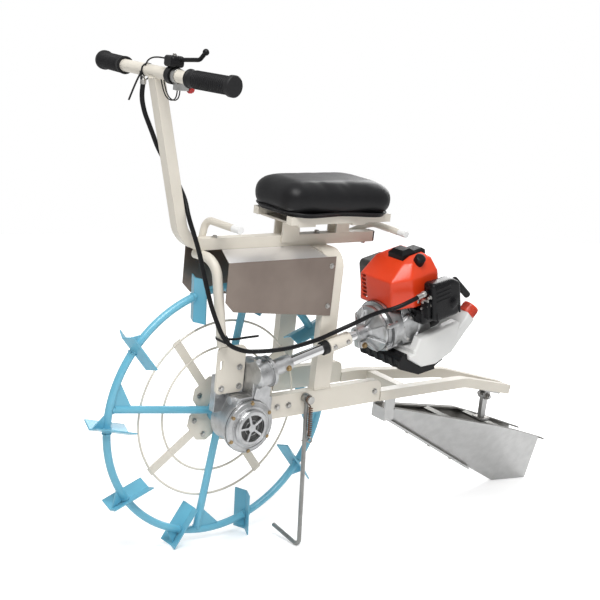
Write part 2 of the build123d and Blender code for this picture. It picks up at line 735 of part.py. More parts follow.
# lift handle routes: the rod's foot on the beam's right side, its bend and its free end
FRONT_LIFT = [
    (80.0, LIFT_SIDE_Y, BEAM_HEIGHT - 6),
    (70.0, LIFT_SIDE_Y, BEAM_HEIGHT + 48),
    (62.0, 72.0, BEAM_HEIGHT + 47),
]
REAR_LIFT = [
    (BEAM_REAR + 55, LIFT_SIDE_Y, BEAM_HEIGHT + 2),
    (BEAM_REAR - 21, LIFT_SIDE_Y, BEAM_HEIGHT + 25),
    (BEAM_REAR - 21, 80.0, BEAM_HEIGHT + 23),
]


def lift_handle(route):
    return round_tube(route, LIFT_BEND, LIFT_ROD)


def lift_cap(route):
    """Closed sleeve carried on past the rod's free end, at the rod's own diameter."""
    along = (Vector(*route[2]) - Vector(*route[1])).normalized()
    return Plane(origin=route[2], z_dir=along) * Pos(0, 0, LIFT_CAP / 2) * Cylinder(LIFT_ROD / 2, LIFT_CAP)


parts["front_lift_handle"] = lift_handle(FRONT_LIFT)
parts["rear_lift_handle"] = lift_handle(REAR_LIFT)
parts["front_lift_cap"] = lift_cap(FRONT_LIFT)
parts["rear_lift_cap"] = lift_cap(REAR_LIFT)

# Rear arch, fork and sheet guards

def rear_arch():
    crown = BEAM_UNDER - POST_DEEP / 2
    route = [
        (POST_X, POST_Y, RAIL_TOP), (POST_X, POST_Y, crown), (POST_X, -POST_Y, crown), (POST_X, -POST_Y, RAIL_TOP),
    ]
    return box_tube(route, ARCH_RADIUS, POST_LONG, POST_DEEP, POST_WALL, (1, 0, 0))


def fork_tube():
    under = BEAM_UNDER - FORK_TUBE / 2
    route = [
        (FORK_TOP_X, -BEAM_SIDE / 2, under),
        (FORK_REACH_X, FORK_PLATE_Y - 10, under),
        (FORK_FOOT_X, FORK_PLATE_Y, FORK_PLATE_TOP - FORK_PLATE),
    ]
    tube = round_tube(route, FORK_BEND, FORK_TUBE, FORK_WALL)
    room = Box(4 * FORK_TUBE, 4 * FORK_TUBE, 2 * FORK_TUBE)
    below = Pos(FORK_FOOT_X, FORK_PLATE_Y, FORK_PLATE_TOP - FORK_TUBE) * room
    return tube - below


def fork_plate():
    near = FORK_PLATE_Y + FORK_PLATE / 2
    far = FORK_PLATE_Y - FORK_PLATE / 2
    plate = block(FORK_PLATE_REAR, FORK_PLATE_FRONT, far, near, FORK_PLATE_BOTTOM, FORK_PLATE_TOP)
    plate = fillet(plate.edges().filter_by(Axis.Y), FORK_PLATE_CORNER)
    for along, above in FORK_HOLES:
        plate -= rod_y(FORK_PLATE_REAR + along, FORK_PLATE_BOTTOM + above, far - FIT, near + FIT, FORK_HOLE)
    slot = extrude(Plane.XZ * Rot(0, 0, 90) * SlotOverall(*FORK_SLOT), FORK_PLATE, both=True)
    along, up = FORK_SLOT_AT
    return plate - Pos(FORK_PLATE_REAR + along, FORK_PLATE_Y, FORK_PLATE_BOTTOM + up) * slot


def side_guard():
    """Sheet beside the wheel's top, folded in under the beam, its fold's front edge cut on the slant."""
    outer = POST_Y + POST_DEEP / 2
    rear = POST_X + POST_LONG / 2 - SHEET_LAP
    fold = BEAM_UNDER - SHEET_FOLD_DOWN
    outline = [
        (SHEET_FRONT, fold), (SHEET_FRONT, SHEET_LOW_FRONT + SHEET_CORNER),
        (SHEET_FRONT - SHEET_CORNER, SHEET_LOW_FRONT), (rear, SHEET_LOW_REAR), (rear, fold),
    ]
    side = plate_xz(outline, outer, outer + SHEET)
    inner = BEAM_SIDE / 2 + FIT
    slope = [
        (outer + SHEET, fold), (outer + SHEET, fold - SHEET), (outer, fold - SHEET),
        (inner, BEAM_UNDER - SHEET), (inner, BEAM_UNDER),
    ]
    top = Plane.YZ * make_face(Polyline(*slope, close=True))
    front_of_post = POST_X + POST_LONG / 2 + SHEET
    top = Pos(front_of_post, 0, 0) * extrude(top, SHEET_FRONT - front_of_post)
    slant = [(SHEET_FRONT, outer), (SHEET_FRONT - SHEET_SLANT, inner), (SHEET_FRONT, inner)]
    cut = extrude(make_face(Polyline(*slant, close=True)), BEAM_TOP)
    return side + (top - cut)


parts["rear_arch"] = rear_arch()
parts["fork_tube"] = fork_tube()
parts["fork_plate"] = fork_plate()
parts["side_guard_left"] = side_guard()
parts["side_guard_right"] = mirrored(side_guard())

# Lower frame

TAIL_START_Z = RAIL_BOTTOM + TAIL_SIDE / 2
CROSS_Z = TAIL_START_Z - 4


def lower_rail(front):
    half = RAIL_WIDE / 2
    rail = block(RAIL_REAR, front, RAIL_Y - half, RAIL_Y + half, RAIL_BOTTOM, RAIL_TOP)
    corner = rail.edges().filter_by(Axis.Y).group_by(Axis.X)[0].sort_by(Axis.Z)[-1]
    rail = fillet(corner, 18)
    inner = half - RAIL_WALL
    hollow = block(RAIL_REAR + RAIL_WALL, front, RAIL_Y - inner, RAIL_Y + inner, RAIL_BOTTOM + RAIL_WALL, RAIL_TOP - 20)
    return rail - hollow


TAIL_ROUTE = [
    (RAIL_REAR, RAIL_Y, TAIL_START_Z),
    (RAIL_REAR - TAIL_STRAIGHT, RAIL_Y, TAIL_START_Z),
    TAIL_BEND,
    TAIL_END,
]


def tail_tube():
    return box_tube(TAIL_ROUTE, TAIL_BEND_RADIUS, TAIL_SIDE, TAIL_SIDE, TAIL_WALL)


def tail_solid():
    path = path_along(TAIL_ROUTE, TAIL_BEND_RADIUS)
    start = Plane(origin=path @ 0, x_dir=(0, 1, 0), z_dir=path % 0)
    return sweep(start * Rectangle(TAIL_SIDE + FIT, TAIL_SIDE + FIT), path=path)


def cross_tube():
    half = TAIL_SIDE / 2
    z = CROSS_Z
    tube = block(CROSS_X - half, CROSS_X + half, -RAIL_Y, RAIL_Y, z - half, z + half)
    inner = half - TAIL_WALL
    tube -= block(CROSS_X - inner, CROSS_X + inner, -RAIL_Y, RAIL_Y, z - inner, z + inner)
    solid = tail_solid()
    return tube - solid - mirrored(solid)


parts["lower_rail_left"] = lower_rail(RAIL_FRONT)
parts["lower_rail_right"] = mirrored(lower_rail(RAIL_RIGHT_FRONT))
parts["tail_tube_left"] = tail_tube()
parts["tail_tube_right"] = mirrored(tail_tube())
parts["cross_tube"] = cross_tube()

# Gearbox on the wheel's left side

def plate_hull(circles, y0, y1):
    """Plate in the wheel's plane, drawn tight round circles given as x, z and radius."""
    edges = ShapeList()
    for x, z, radius in circles:
        edges += (Pos(x, z) * Circle(radius)).edges()
    return Pos(0, y1, 0) * extrude(Plane.XZ * make_hull(edges), y1 - y0)


def gearbox_case():
    """Drum round the axle, arm up to the gear head on the drive's axis, and a socket for the drive tube."""
    plate_back = FORK_PLATE_Y - FORK_PLATE / 2
    bore = DRIVE_TUBE / 2 + RUNNING
    case = rod_y(0, 0, DRUM_INNER_Y, DRUM_OUTER_Y, DRUM_RADIUS)
    case += rod_y(0, 0, DRUM_OUTER_Y - DRUM_FLANGE, DRUM_OUTER_Y, COVER_RADIUS)
    arm = [(0, 0, DRUM_RADIUS), (ARM_TOP_X, ARM_TOP_Z, ARM_TOP_RADIUS)]
    case += plate_hull(arm, ARM_INNER_Y, ARM_OUTER_Y)
    rib = [(ARM_TOP_X / 2, COVER_RADIUS + ARM_RIB, ARM_RIB), (ARM_TOP_X, ARM_TOP_Z, ARM_RIB)]
    case += plate_hull(rib, ARM_OUTER_Y, ARM_OUTER_Y + ARM_RIB)
    flange = HEAD_END - HEAD_FLANGE_LONG
    case += drive_turned([
        (HEAD_START, 0), (HEAD_START, HEAD_RADIUS - HEAD_ROUND), (HEAD_START + HEAD_ROUND, HEAD_RADIUS),
        (flange, HEAD_RADIUS), (flange, HEAD_FLANGE), (HEAD_END, HEAD_FLANGE), (HEAD_END, HEAD_RADIUS),
        (HEAD_END + HEAD_ROUND, SOCKET_RADIUS), (SOCKET_END, SOCKET_RADIUS), (SOCKET_END, 0),
    ])
    case += DRIVE * Pos(-PLUG_AT, 0, PLUG_TOP / 2) * Cylinder(PLUG_RADIUS, PLUG_TOP)
    beside = FORK_PLATE_REAR - BAND_GAP
    under = FORK_PLATE_BOTTOM - BAND_GAP
    case -= block(beside, 2 * FORK_PLATE_FRONT, plate_back, 2 * DRIVE_Y, under, 2 * FORK_PLATE_TOP)
    pad_front = FORK_PLATE_FRONT - PAD_INSET
    pad_top = FORK_PLATE_BOTTOM + PAD_RISE
    case += block(FORK_PLATE_REAR, pad_front, ARM_INNER_Y - PAD_INSET, plate_back, PAD_LOW, pad_top)
    case += rod_y(0, 0, NECK_INNER_Y, DRUM_INNER_Y, NECK_RADIUS)
    rail_half = RAIL_WIDE / 2
    tongue_front = RAIL_FRONT + TONGUE_IN
    case += block(RAIL_FRONT, tongue_front, RAIL_Y - rail_half, RAIL_Y + rail_half, RAIL_BOTTOM, RAIL_TOP)
    boss = Rot(0, 90, 0) * Cylinder(BOSS_RADIUS, BOSS_FRONT - BOSS_REAR)
    case += Pos((BOSS_FRONT + BOSS_REAR) / 2, BOSS_Y, BOSS_Z) * boss
    mouth = SOCKET_END + FIT
    case -= drive_turned([(TUBE_START, 0), (TUBE_START, bore), (mouth, bore), (mouth, 0)])
    return case - rod_y(0, 0, NECK_INNER_Y - FIT, AXLE_END_Y + AXLE_GAP, AXLE_RADIUS + RUNNING)


def gearbox_cover():
    """Round cover with a raised ring and five ribs round its centre."""
    seat = DRUM_OUTER_Y + FIT
    top = DRUM_OUTER_Y + COVER_DEEP
    floor = top - 2 * COVER_STEP
    profile = [
        (0, seat), (COVER_RADIUS, seat), (COVER_RADIUS, seat + COVER_EDGE), (COVER_SHOULDER, floor),
        (COVER_RING_OUT, floor), (COVER_RING_OUT, top - COVER_STEP), (COVER_RING_OUT - COVER_STEP, top),
        (COVER_RING_IN, top), (COVER_RING_IN, floor), (0, floor),
    ]
    cover = revolve(make_face(Polyline(*profile, close=True)), axis=Axis.Y)
    rib_top = top - COVER_STEP / 2
    cover += rod_y(0, 0, floor, rib_top, COVER_HUB)
    rib = block(0, COVER_RING_IN + FIT, floor - FIT, rib_top, -COVER_RIB / 2, COVER_RIB / 2)
    for i in range(COVER_RIBS):
        cover += on_wheel(i * 360.0 / COVER_RIBS) * rib
    return cover


parts["gearbox_case"] = gearbox_case()
parts["gearbox_cover"] = gearbox_cover()

# Drive tube and its clamp on the rear post

def drive_sleeve(start, end, radius):
    bore = DRIVE_TUBE / 2 + RUNNING
    return drive_turned([(start, bore), (start, radius), (end, radius), (end, bore)])


def drive_tube():
    radius = DRIVE_TUBE / 2
    wall = radius - DRIVE_TUBE_WALL
    start = TUBE_START + FIT
    return drive_turned([(start, wall), (start, radius), (TUBE_END, radius), (TUBE_END, wall)])


def tube_clamp():
    foot_y = POST_Y + POST_DEEP / 2 - DRIVE_Y
    ahead, behind = CLAMP_FOOT_INSET
    foot = drive_block(
        CLAMP_START + ahead, CLAMP_END - behind, foot_y, foot_y + CLAMP_FOOT, -CLAMP_FOOT_HALF, CLAMP_FOOT_HALF,
    )
    bore = DRIVE_TUBE / 2 + RUNNING
    outer, inner = [
        drive_turned([(CLAMP_START, 0), (CLAMP_START, radius), (CLAMP_END, radius), (CLAMP_END, 0)])
        for radius in (CLAMP_RADIUS, bore)
    ]
    return outer + DRIVE * foot - inner


parts["drive_tube"] = drive_tube()
parts["tube_band"] = drive_sleeve(CLAMP_START - BAND_GAP - BAND_LONG, CLAMP_START - BAND_GAP, BAND_RADIUS)
parts["tube_clamp"] = tube_clamp()

# Engine

def clutch_housing():
    """Neck round the drive tube, and the bell behind it with two flanges and the bolt bosses between them."""
    bore = DRIVE_TUBE / 2 + RUNNING
    neck = DRIVE_TUBE / 2 + CLUTCH_NECK
    seat = TUBE_END + FIT
    bell = [(seat + along, radius) for along, radius in BELL_PROFILE]
    housing = drive_turned([
        (CLUTCH_START, bore), (CLUTCH_START, neck), (seat, neck), *bell,
        (CLUTCH_END - CLUTCH_NECK, FAN_RADIUS), (CLUTCH_END, FAN_RADIUS - CLUTCH_NECK), (CLUTCH_END, 0),
        (seat, 0), (seat, bore),
    ])
    boss = Rot(0, 90, 0) * Cylinder(BELL_BOSS, BELL_BOSS_LONG)
    boss_at = seat + BELL_PROFILE[3][0] + BELL_BOSS_LONG / 2
    for angle in BELL_BOSS_ANGLES:
        y = BELL_BOSS_AT * cos(radians(angle))
        w = BELL_BOSS_AT * sin(radians(angle))
        housing += DRIVE * Pos(-boss_at, y, w) * boss
    along, across, down = NECK_LUG
    lug_end = CLUTCH_START + along
    lug = drive_block(CLUTCH_START, lug_end, -across / 2, across / 2, -neck - down, CLUTCH_NECK - neck)
    return housing + DRIVE * lug


def engine_block():
    """Crankcase with a finned cylinder on it."""
    front = CLUTCH_END + FIT
    case = drive_block(front, CASE_END, -CASE_HALF, CASE_HALF, CASE_LOW, CASE_HIGH)
    case = fillet(case.edges().filter_by(Axis.X), CASE_ROUND)
    middle = (front + CASE_END) / 2
    half = CYLINDER_HALF
    case += drive_block(middle - half, middle + half, -half, half, CASE_HIGH - FIT, CYLINDER_TOP)
    for i in range(FIN_COUNT):
        w = CASE_HIGH + FIN_START + i * FIN_PITCH
        case += drive_block(middle - FIN_HALF, middle + FIN_HALF, -FIN_HALF, FIN_HALF, w, w + FIN_THICK)
    return DRIVE * case


def cover_loft(inset, drop):
    """The engine cover's faceted hood, drawn in by a wall, with its lowest level dropped."""
    faces = []
    for i, (w, front, shoulder, rear, right, crease, left) in enumerate(COVER_LEVELS):
        outline = [
            (-front - inset, right + inset), (-front - inset, crease - inset / 2),
            (-shoulder - inset / 2, left - inset), (-rear + inset, left - inset),
            (-rear + inset, right + inset),
        ]
        level = w - inset
        if i == 0:
            level = w - drop
        faces.append(Pos(0, 0, level) * make_face(Polyline(*outline, close=True)))
    return loft(faces, ruled=True)


def starter_drum(grown):
    """The recoil housing's round body, grown by a fit."""
    outer = STARTER_RADIUS + grown
    return drive_turned([
        (STARTER_START - grown, 0), (STARTER_START - grown, outer), (STARTER_END - STARTER_ROUND, outer),
        (STARTER_END + grown, outer - STARTER_ROUND), (STARTER_END + grown, 0),
    ])


def engine_cover():
    """Plastic hood over the cylinder, open below, with cooling slots at its right front edge."""
    shell = cover_loft(0, 0) - cover_loft(COVER_WALL, COVER_WALL)
    _, front, _, _, right, _, _ = COVER_LEVELS[0]
    wide, high = COVER_SLOT
    inner = right + 4 * COVER_WALL
    for i in range(COVER_SLOTS):
        w = COVER_SLOT_START + i * COVER_SLOT_PITCH
        shell -= drive_block(front - COVER_WALL, front + 2 * COVER_WALL, inner, inner + wide, w, w + high)
    outer = FAN_RADIUS + FIT
    fan_end = CLUTCH_END + FIT
    fan = drive_turned([(CLUTCH_START, 0), (CLUTCH_START, outer), (fan_end, outer), (fan_end, 0)])
    return DRIVE * shell - fan - starter_drum(FIT)


def cover_vent():
    """Two black hoods, one behind the other, on the cover's top."""
    vent = Part()
    for front, rear, right, left, high, bevel in VENT_HOODS:
        hood = drive_block(front, rear, right, left, COVER_LEVELS[1][0], high)
        vent += chamfer(hood.faces().sort_by(Axis.Z)[-1].edges(), bevel)
    vent -= cover_loft(-FIT, 0)
    return DRIVE * vent


def plug_cap():
    """Round cap that stands out of the cover's left roof."""
    d, y, w = PLUG_CAP_AT
    seat = Plane(origin=(-d, y, w), z_dir=PLUG_CAP_OUT)
    cap = Cylinder(PLUG_CAP_RADIUS, 2 * PLUG_CAP_HIGH)
    cap = seat * fillet(cap.edges().sort_by(Axis.Z)[-1], PLUG_CAP_ROUND)
    return DRIVE * (cap - cover_loft(-FIT, 0))


def muffler():
    """Box beside the cover's right wall."""
    box = drive_block(MUFFLER_FRONT, MUFFLER_REAR, MUFFLER_RIGHT, MUFFLER_LEFT, MUFFLER_LOW, MUFFLER_HIGH)
    box = fillet(box.edges().filter_by(Axis.Y), MUFFLER_ROUND)
    return DRIVE * (box - cover_loft(-FIT, 0))


def drive_prism(outline, y0, y1):
    face = Plane.XZ * make_face(Polyline(*[(-d, w) for d, w in outline], close=True))
    return Pos(0, y1, 0) * extrude(face, y1 - y0)


def air_cleaner():
    """Moulded box with a round knob, on the intake that leads to the cylinder."""
    box = drive_prism(AIR_OUTLINE, AIR_INNER, AIR_OUTER)
    box = fillet(box.edges().filter_by(Axis.Y), AIR_CORNER)
    box = fillet(box.faces().sort_by(Axis.Y)[-1].edges(), AIR_EDGE)
    along, above = AIR_KNOB_AT
    box += rod_y(-along, above, AIR_OUTER - FIT, AIR_OUTER + AIR_KNOB_OUT, AIR_KNOB)
    box += drive_block(INTAKE_FRONT, INTAKE_REAR, CASE_HALF + FIT, AIR_INNER + FIT, INTAKE_LOW, INTAKE_HIGH)
    return DRIVE * box


STARTER_START = CASE_END + FIT
STARTER_END = CASE_END + STARTER_LONG
ROPE_BOSS_END = STARTER_END + ROPE_BOSS[0]
handle_turn = radians(HANDLE_SLOPE)
HANDLE_ALONG = Vector(-cos(handle_turn), 0, -sin(handle_turn))
HANDLE_STEM = Vector(-sin(handle_turn), 0, cos(handle_turn))
ROPE_EXIT = Vector(-ROPE_BOSS_END, ROPE_BOSS_Y + ROPE_BOSS[1] / 4, ROPE_BOSS_Z)
HANDLE_MIDDLE = ROPE_EXIT + HANDLE_STEM * HANDLE_OUT


def starter_housing():
    """Round recoil housing with the boss that its rope leaves through."""
    housing = starter_drum(0)
    _, across, high = ROPE_BOSS
    boss = drive_block(
        STARTER_END - STARTER_ROUND, ROPE_BOSS_END, ROPE_BOSS_Y - across / 2, ROPE_BOSS_Y + across / 2,
        ROPE_BOSS_Z - high / 2, ROPE_BOSS_Z + high / 2,
    )
    return housing + DRIVE * boss


def starter_handle():
    """Cross handle on a short stem over the rope's boss."""
    handle = fillet(Cylinder(HANDLE_RADIUS, HANDLE_LONG).edges(), HANDLE_ROUND)
    handle = Plane(origin=HANDLE_MIDDLE, z_dir=HANDLE_ALONG) * handle
    stem = Plane(origin=ROPE_EXIT, z_dir=HANDLE_STEM) * Cylinder(STEM_RADIUS, 2 * HANDLE_OUT)
    _, across, high = ROPE_BOSS
    boss = drive_block(
        STARTER_END - HANDLE_LONG, ROPE_BOSS_END + FIT, ROPE_BOSS_Y - across / 2, ROPE_BOSS_Y + across / 2,
        ROPE_BOSS_Z - HANDLE_LONG, ROPE_BOSS_Z + high / 2 + FIT,
    )
    return DRIVE * (handle + stem - boss)


# fuel tank and the guard under it: outlines as distance along the drive and height beside it
TANK_TOP = CASE_LOW - FIT
TANK_LOW = CASE_LOW - TANK_DROP
TANK_REST = -STARTER_RADIUS - 2 * FIT
TANK_FRONT = CLUTCH_END - TANK_AHEAD
TANK_FRONT_TOP = TANK_TOP - 2 * TANK_ROUND
TANK_OUTLINE = [
    (TANK_FRONT, TANK_FRONT_TOP),
    (TANK_FRONT, TANK_TOP - 22),
    (CLUTCH_END + 25, TANK_LOW + 8),
    (CLUTCH_END + 70, TANK_LOW),
    (STARTER_END - 6, TANK_LOW + 12),
    (STARTER_END + 38, TANK_TOP - 16),
    (CASE_END + TANK_NECK_LOW[0], TANK_NECK_LOW[1]),
    (CASE_END + TANK_NECK[0], TANK_NECK[1]),
    (STARTER_END + 14, TANK_REST),
    (CLUTCH_END + 2, TANK_REST),
    (CLUTCH_END + 2, TANK_FRONT_TOP),
]
SHOULDER_OUTLINE = [
    (CLUTCH_END + 4, TANK_REST - TANK_ROUND),
    (CLUTCH_END + 24, -29.0),
    (STARTER_END + 16, -25.0),
    (STARTER_END + 26, -32.0),
    (STARTER_END + 14, TANK_REST - TANK_ROUND),
]
SKID_TOP = -FAN_RADIUS - FIT
SKID_INNER = TANK_FRONT - SKID_GAP
SKID_OUTLINE = [
    (CLUTCH_END - 30, SKID_TOP),
    (CLUTCH_END - 36, SKID_TOP - 10),
    (CLUTCH_END - 36, SKID_TOP - 26),
    (CLUTCH_END + 18, TANK_LOW - 4),
    (CLUTCH_END + 70, TANK_LOW - 8),
    (CLUTCH_END + 98, TANK_LOW),
    (CLUTCH_END + 96, TANK_LOW + 5),
    (CLUTCH_END + 70, TANK_LOW - SKID_GAP / 2),
    (CLUTCH_END + 24, TANK_LOW + 7),
    (SKID_INNER, TANK_TOP - 22 + SKID_GAP / 5),
    (SKID_INNER, SKID_TOP),
]


def fuel_tank():
    """Moulded tank under the crankcase and the starter, higher on its left side, with a slanting neck."""
    tank = drive_prism(TANK_OUTLINE, TANK_RIGHT, TANK_LEFT)
    tank += drive_prism(SHOULDER_OUTLINE, TANK_SHOULDER_Y, TANK_LEFT)
    return DRIVE * fillet(tank.faces().sort_by(Axis.Y)[-1].edges(), TANK_ROUND)


def fuel_cap():
    high = Vector(-CASE_END - TANK_NECK[0], CAP_Y, TANK_NECK[1])
    low = Vector(-CASE_END - TANK_NECK_LOW[0], CAP_Y, TANK_NECK_LOW[1])
    edge = high - low
    out = Vector(-edge.Z, 0, edge.X).normalized()
    seat = Plane(origin=(low + high) * 0.5 + out * FIT, z_dir=out)
    return DRIVE * (seat * Pos(0, 0, CAP_LONG / 2) * Cylinder(CAP_RADIUS, CAP_LONG))


def engine_guard():
    """Skid under the engine, with ribs along its underside."""
    guard = drive_prism(SKID_OUTLINE, -SKID_HALF, SKID_HALF)
    outer = SKID_OUTLINE[1:5]
    front_d, front_w = outer[0]
    below = [(d, w - SKID_RIB_DEEP) for d, w in reversed(outer[1:])]
    rib = outer + below + [(front_d - SKID_RIB_DEEP / 2, front_w)]
    pitch = (2 * SKID_HALF - SKID_RIB_WIDE) / (SKID_RIBS - 1)
    for i in range(SKID_RIBS):
        y = -SKID_HALF + i * pitch
        guard += drive_prism(rib, y, y + SKID_RIB_WIDE)
    return DRIVE * guard


parts["clutch_housing"] = clutch_housing()
parts["engine_block"] = engine_block()
parts["engine_cover"] = engine_cover()
parts["cover_vent"] = cover_vent()
parts["plug_cap"] = plug_cap()
parts["muffler"] = muffler()
parts["air_cleaner"] = air_cleaner()
parts["starter_housing"] = starter_housing()
parts["starter_handle"] = starter_handle()
parts["fuel_tank"] = fuel_tank()
parts["fuel_cap"] = fuel_cap()
parts["engine_guard"] = engine_guard()

# Side stand

HOOK_Y = STAND_Y + STAND_EYE_WIDE / 2 + STAND_HOOK_GAP
SPRING_OFFSET = Vector(-5, 10.8, 0)


def stand_point(down):
    """Centre of the stand's rod at a height below the pivot."""
    return STAND_TOP + (STAND_BOTTOM - STAND_TOP) * (down / (STAND_TOP.Z - STAND_BOTTOM.Z))


def stand_pivot():
    pin = rod_y(STAND_X, STAND_HEIGHT, STAND_FACE, HOOK_Y + 4, STAND_PIN)
    return pin + rod_y(STAND_X, STAND_HEIGHT, HOOK_Y + 4, HOOK_Y + 8, STAND_PIN + 3)


def stand_leg():
    leg = round_tube([tuple(STAND_TOP), STAND_FOOT, tuple(STAND_TOE)], STAND_BEND, STAND_ROD)
    leg += rod_y(STAND_X, STAND_HEIGHT, STAND_Y - STAND_EYE_WIDE / 2, STAND_Y + STAND_EYE_WIDE / 2, STAND_EYE)
    ring = stand_point(SPRING_DOWN + SPRING_LENGTH + STAND_RING + STAND_RING_WIRE / 2 + FIT) + SPRING_OFFSET
    beside = degrees(atan2(SPRING_OFFSET.Y, SPRING_OFFSET.X))
    leg += Pos(*ring) * Rot(0, 0, beside) * Rot(90, 0, 0) * Torus(STAND_RING, STAND_RING_WIRE / 2)
    return leg - rod_y(STAND_X, STAND_HEIGHT, STAND_FACE - 1, HOOK_Y + 8, STAND_PIN + RUNNING)


def stand_spring():
    top = stand_point(SPRING_DOWN) + SPRING_OFFSET
    bottom = stand_point(SPRING_DOWN + SPRING_LENGTH) + SPRING_OFFSET
    body = round_tube([tuple(top), tuple(bottom)], None, 2 * SPRING_RADIUS)
    ring = Torus(STAND_PIN + SPRING_WIRE / 2 + 2 * FIT, SPRING_WIRE / 2)
    hook = Pos(STAND_X, HOOK_Y, STAND_HEIGHT) * Rot(90, 0, 0) * ring
    under = (STAND_X, HOOK_Y, STAND_HEIGHT - STAND_PIN - SPRING_WIRE / 2 - 0.4)
    link = round_tube([under, tuple(top + Vector(0, 0, -2))], None, SPRING_WIRE)
    return body + hook + link


parts["stand_pivot"] = stand_pivot()
parts["stand_leg"] = stand_leg()
parts["stand_spring"] = stand_spring()

# Plough: hull, keel strip, inner frame, front bracket and rear hitch

def plough_at(x):
    """The plough's section at a given x, between its listed sections."""
    for front, rear in zip(PLOUGH_SECTIONS, PLOUGH_SECTIONS[1:]):
        if rear[0] <= x <= front[0]:
            share = (x - front[0]) / (rear[0] - front[0])
            return [a + share * (b - a) for a, b in zip(front, rear)]


def plough_loft(inset, rise, lift):
    """Ruled hull through the plough's sections, drawn in by a wall and raised off the bottom."""
    faces = []
    for x, top, top_z, low, low_z in PLOUGH_SECTIONS:
        t = top - inset
        b = max(low - inset, 0.4)
        corners = [(-t, top_z + rise), (t, top_z + rise), (b, low_z + lift), (-b, low_z + lift)]
        across = Plane(origin=(x, 0, 0), x_dir=(0, 1, 0), z_dir=(1, 0, 0))
        faces.append(across * make_face(Polyline(*corners, close=True)))
    return loft(faces, ruled=True)


def plough_shell():
    return plough_loft(0, 0, 0) - plough_loft(PLOUGH_SHEET, 0.01, 2 * PLOUGH_SHEET)


def plough_keel():
    """Wearing strip bolted along the front of the keel."""
    nose = PLOUGH_SECTIONS[0]
    end = plough_at(KEEL_END)
    slope = (nose[4] - end[4]) / (nose[0] - KEEL_END)
    thick = KEEL_STRIP * sqrt(1 + slope * slope)
    outline = [
        (nose[0], nose[4] - FIT), (KEEL_END, end[4] - FIT),
        (KEEL_END, end[4] - FIT - thick), (nose[0], nose[4] - FIT - thick),
    ]
    return plate_xz(outline, -KEEL_HALF, KEEL_HALF)


def plough_frame():
    """Strips along the hull's rim that run on past its rear, with bars across for the bracket and the hitch."""
    inner = PLOUGH_SHEET + FIT
    inside = plough_loft(inner, 0, 2 * PLOUGH_SHEET)
    frame = inside - plough_loft(inner + RIM_STRIP, 1, 1) - plough_loft(0, -RIM_THICK, -1)
    across = Part()
    for x in BRACE_X:
        _, top, top_z, _, _ = plough_at(x)
        across += block(x - BRACE_HALF, x + BRACE_HALF, -top, top, top_z - 2 * RIM_THICK, top_z - RIM_THICK / 2)
    frame += across & inside
    rear = PLOUGH_SECTIONS[-1]
    before = PLOUGH_SECTIONS[-2]
    slope = (rear[2] - before[2]) / (rear[0] - before[0])
    x0 = rear[0] + 2
    x1 = rear[0] - RIM_PAST
    outline = [(x, rear[2] + (x - rear[0]) * slope) for x in (x0, x1)]
    outline += [(x, z - RIM_THICK) for x, z in reversed(outline)]
    strip = plate_xz(outline, rear[1] - inner - RIM_STRIP, rear[1] - inner - 1)
    return frame + strip + mirrored(strip)


def plough_bracket():
    """Hanger plates under the cross tube, with the block that holds the plough's nose."""
    under = CROSS_Z - TAIL_SIDE / 2
    nose_x, _, nose_top, _, nose_low = PLOUGH_SECTIONS[0]
    front = CROSS_X + NOSE_FRONT
    bracket = block(CROSS_X - TAIL_SIDE / 2, front, -NOSE_HALF, NOSE_HALF, under - HANGER_PLATE, under)
    bracket += block(nose_x + FIT, front, -NOSE_HALF, NOSE_HALF, nose_low + 4, nose_top + 2)
    for side in (-1, 1):
        y = side * (NOSE_HALF - HANGER_PLATE / 2)
        bracket += block(nose_x + FIT, front, y - HANGER_PLATE / 2, y + HANGER_PLATE / 2, nose_top, under)
    return bracket


def tail_height(x):
    """Centre height of the tail tubes behind their bend."""
    return TAIL_BEND[2] + (x - TAIL_BEND[0]) / (TAIL_END[0] - TAIL_BEND[0]) * (TAIL_END[2] - TAIL_BEND[2])


def tail_bracket():
    """Plate under the ends of the tail tubes, with two ears for the hitch bolt."""
    x0 = HITCH_X - HITCH_PLATE_HALF
    x1 = HITCH_X + HITCH_PLATE_HALF
    under = TAIL_SIDE / 2 + FIT
    low = under + HITCH_PLATE
    front_z = tail_height(x0)
    rear_z = tail_height(x1)
    outline = [(x0, front_z - under), (x1, rear_z - under), (x1, rear_z - low), (x0, front_z - low)]
    solid = tail_solid()
    bracket = plate_xz(outline, -HITCH_PLATE_WIDE / 2, HITCH_PLATE_WIDE / 2) - solid - mirrored(solid)
    for side in (-1, 1):
        y = side * (HITCH_LINK_HALF + FIT + HITCH_PLATE / 2)
        top = tail_height(HITCH_X) - low - HITCH_EAR + HITCH_PLATE / 2
        circles = [(HITCH_X, HITCH_Z, HITCH_EAR), (HITCH_X, top, HITCH_EAR)]
        bracket += plate_hull(circles, y - HITCH_PLATE / 2, y + HITCH_PLATE / 2)
    return bracket - rod_y(HITCH_X, HITCH_Z, -40, 40, HITCH_BOLT + RUNNING)


def hitch_link():
    """Bolted link from the tail bracket to the plough's rear bar."""
    seat = plough_at(HITCH_X)[2] - RIM_THICK / 2 + FIT
    half = HITCH_LINK_HALF
    link = plate_hull([(HITCH_X, HITCH_Z, 10), (HITCH_X, seat + 12, 9)], -half, half)
    link += block(HITCH_X - 16, HITCH_X + 16, -18, 18, seat, seat + 5)
    link += rod_y(HITCH_X, HITCH_Z, -HITCH_BOLT_HALF, HITCH_BOLT_HALF, HITCH_BOLT)
    return link


parts["plough_shell"] = plough_shell()
parts["plough_keel"] = plough_keel()
parts["plough_frame"] = plough_frame()
parts["plough_bracket"] = plough_bracket()
parts["tail_bracket"] = tail_bracket()
parts["hitch_link"] = hitch_link()

# Throttle cable in its conduit, from the handlebar down the column and the fork to the air cleaner

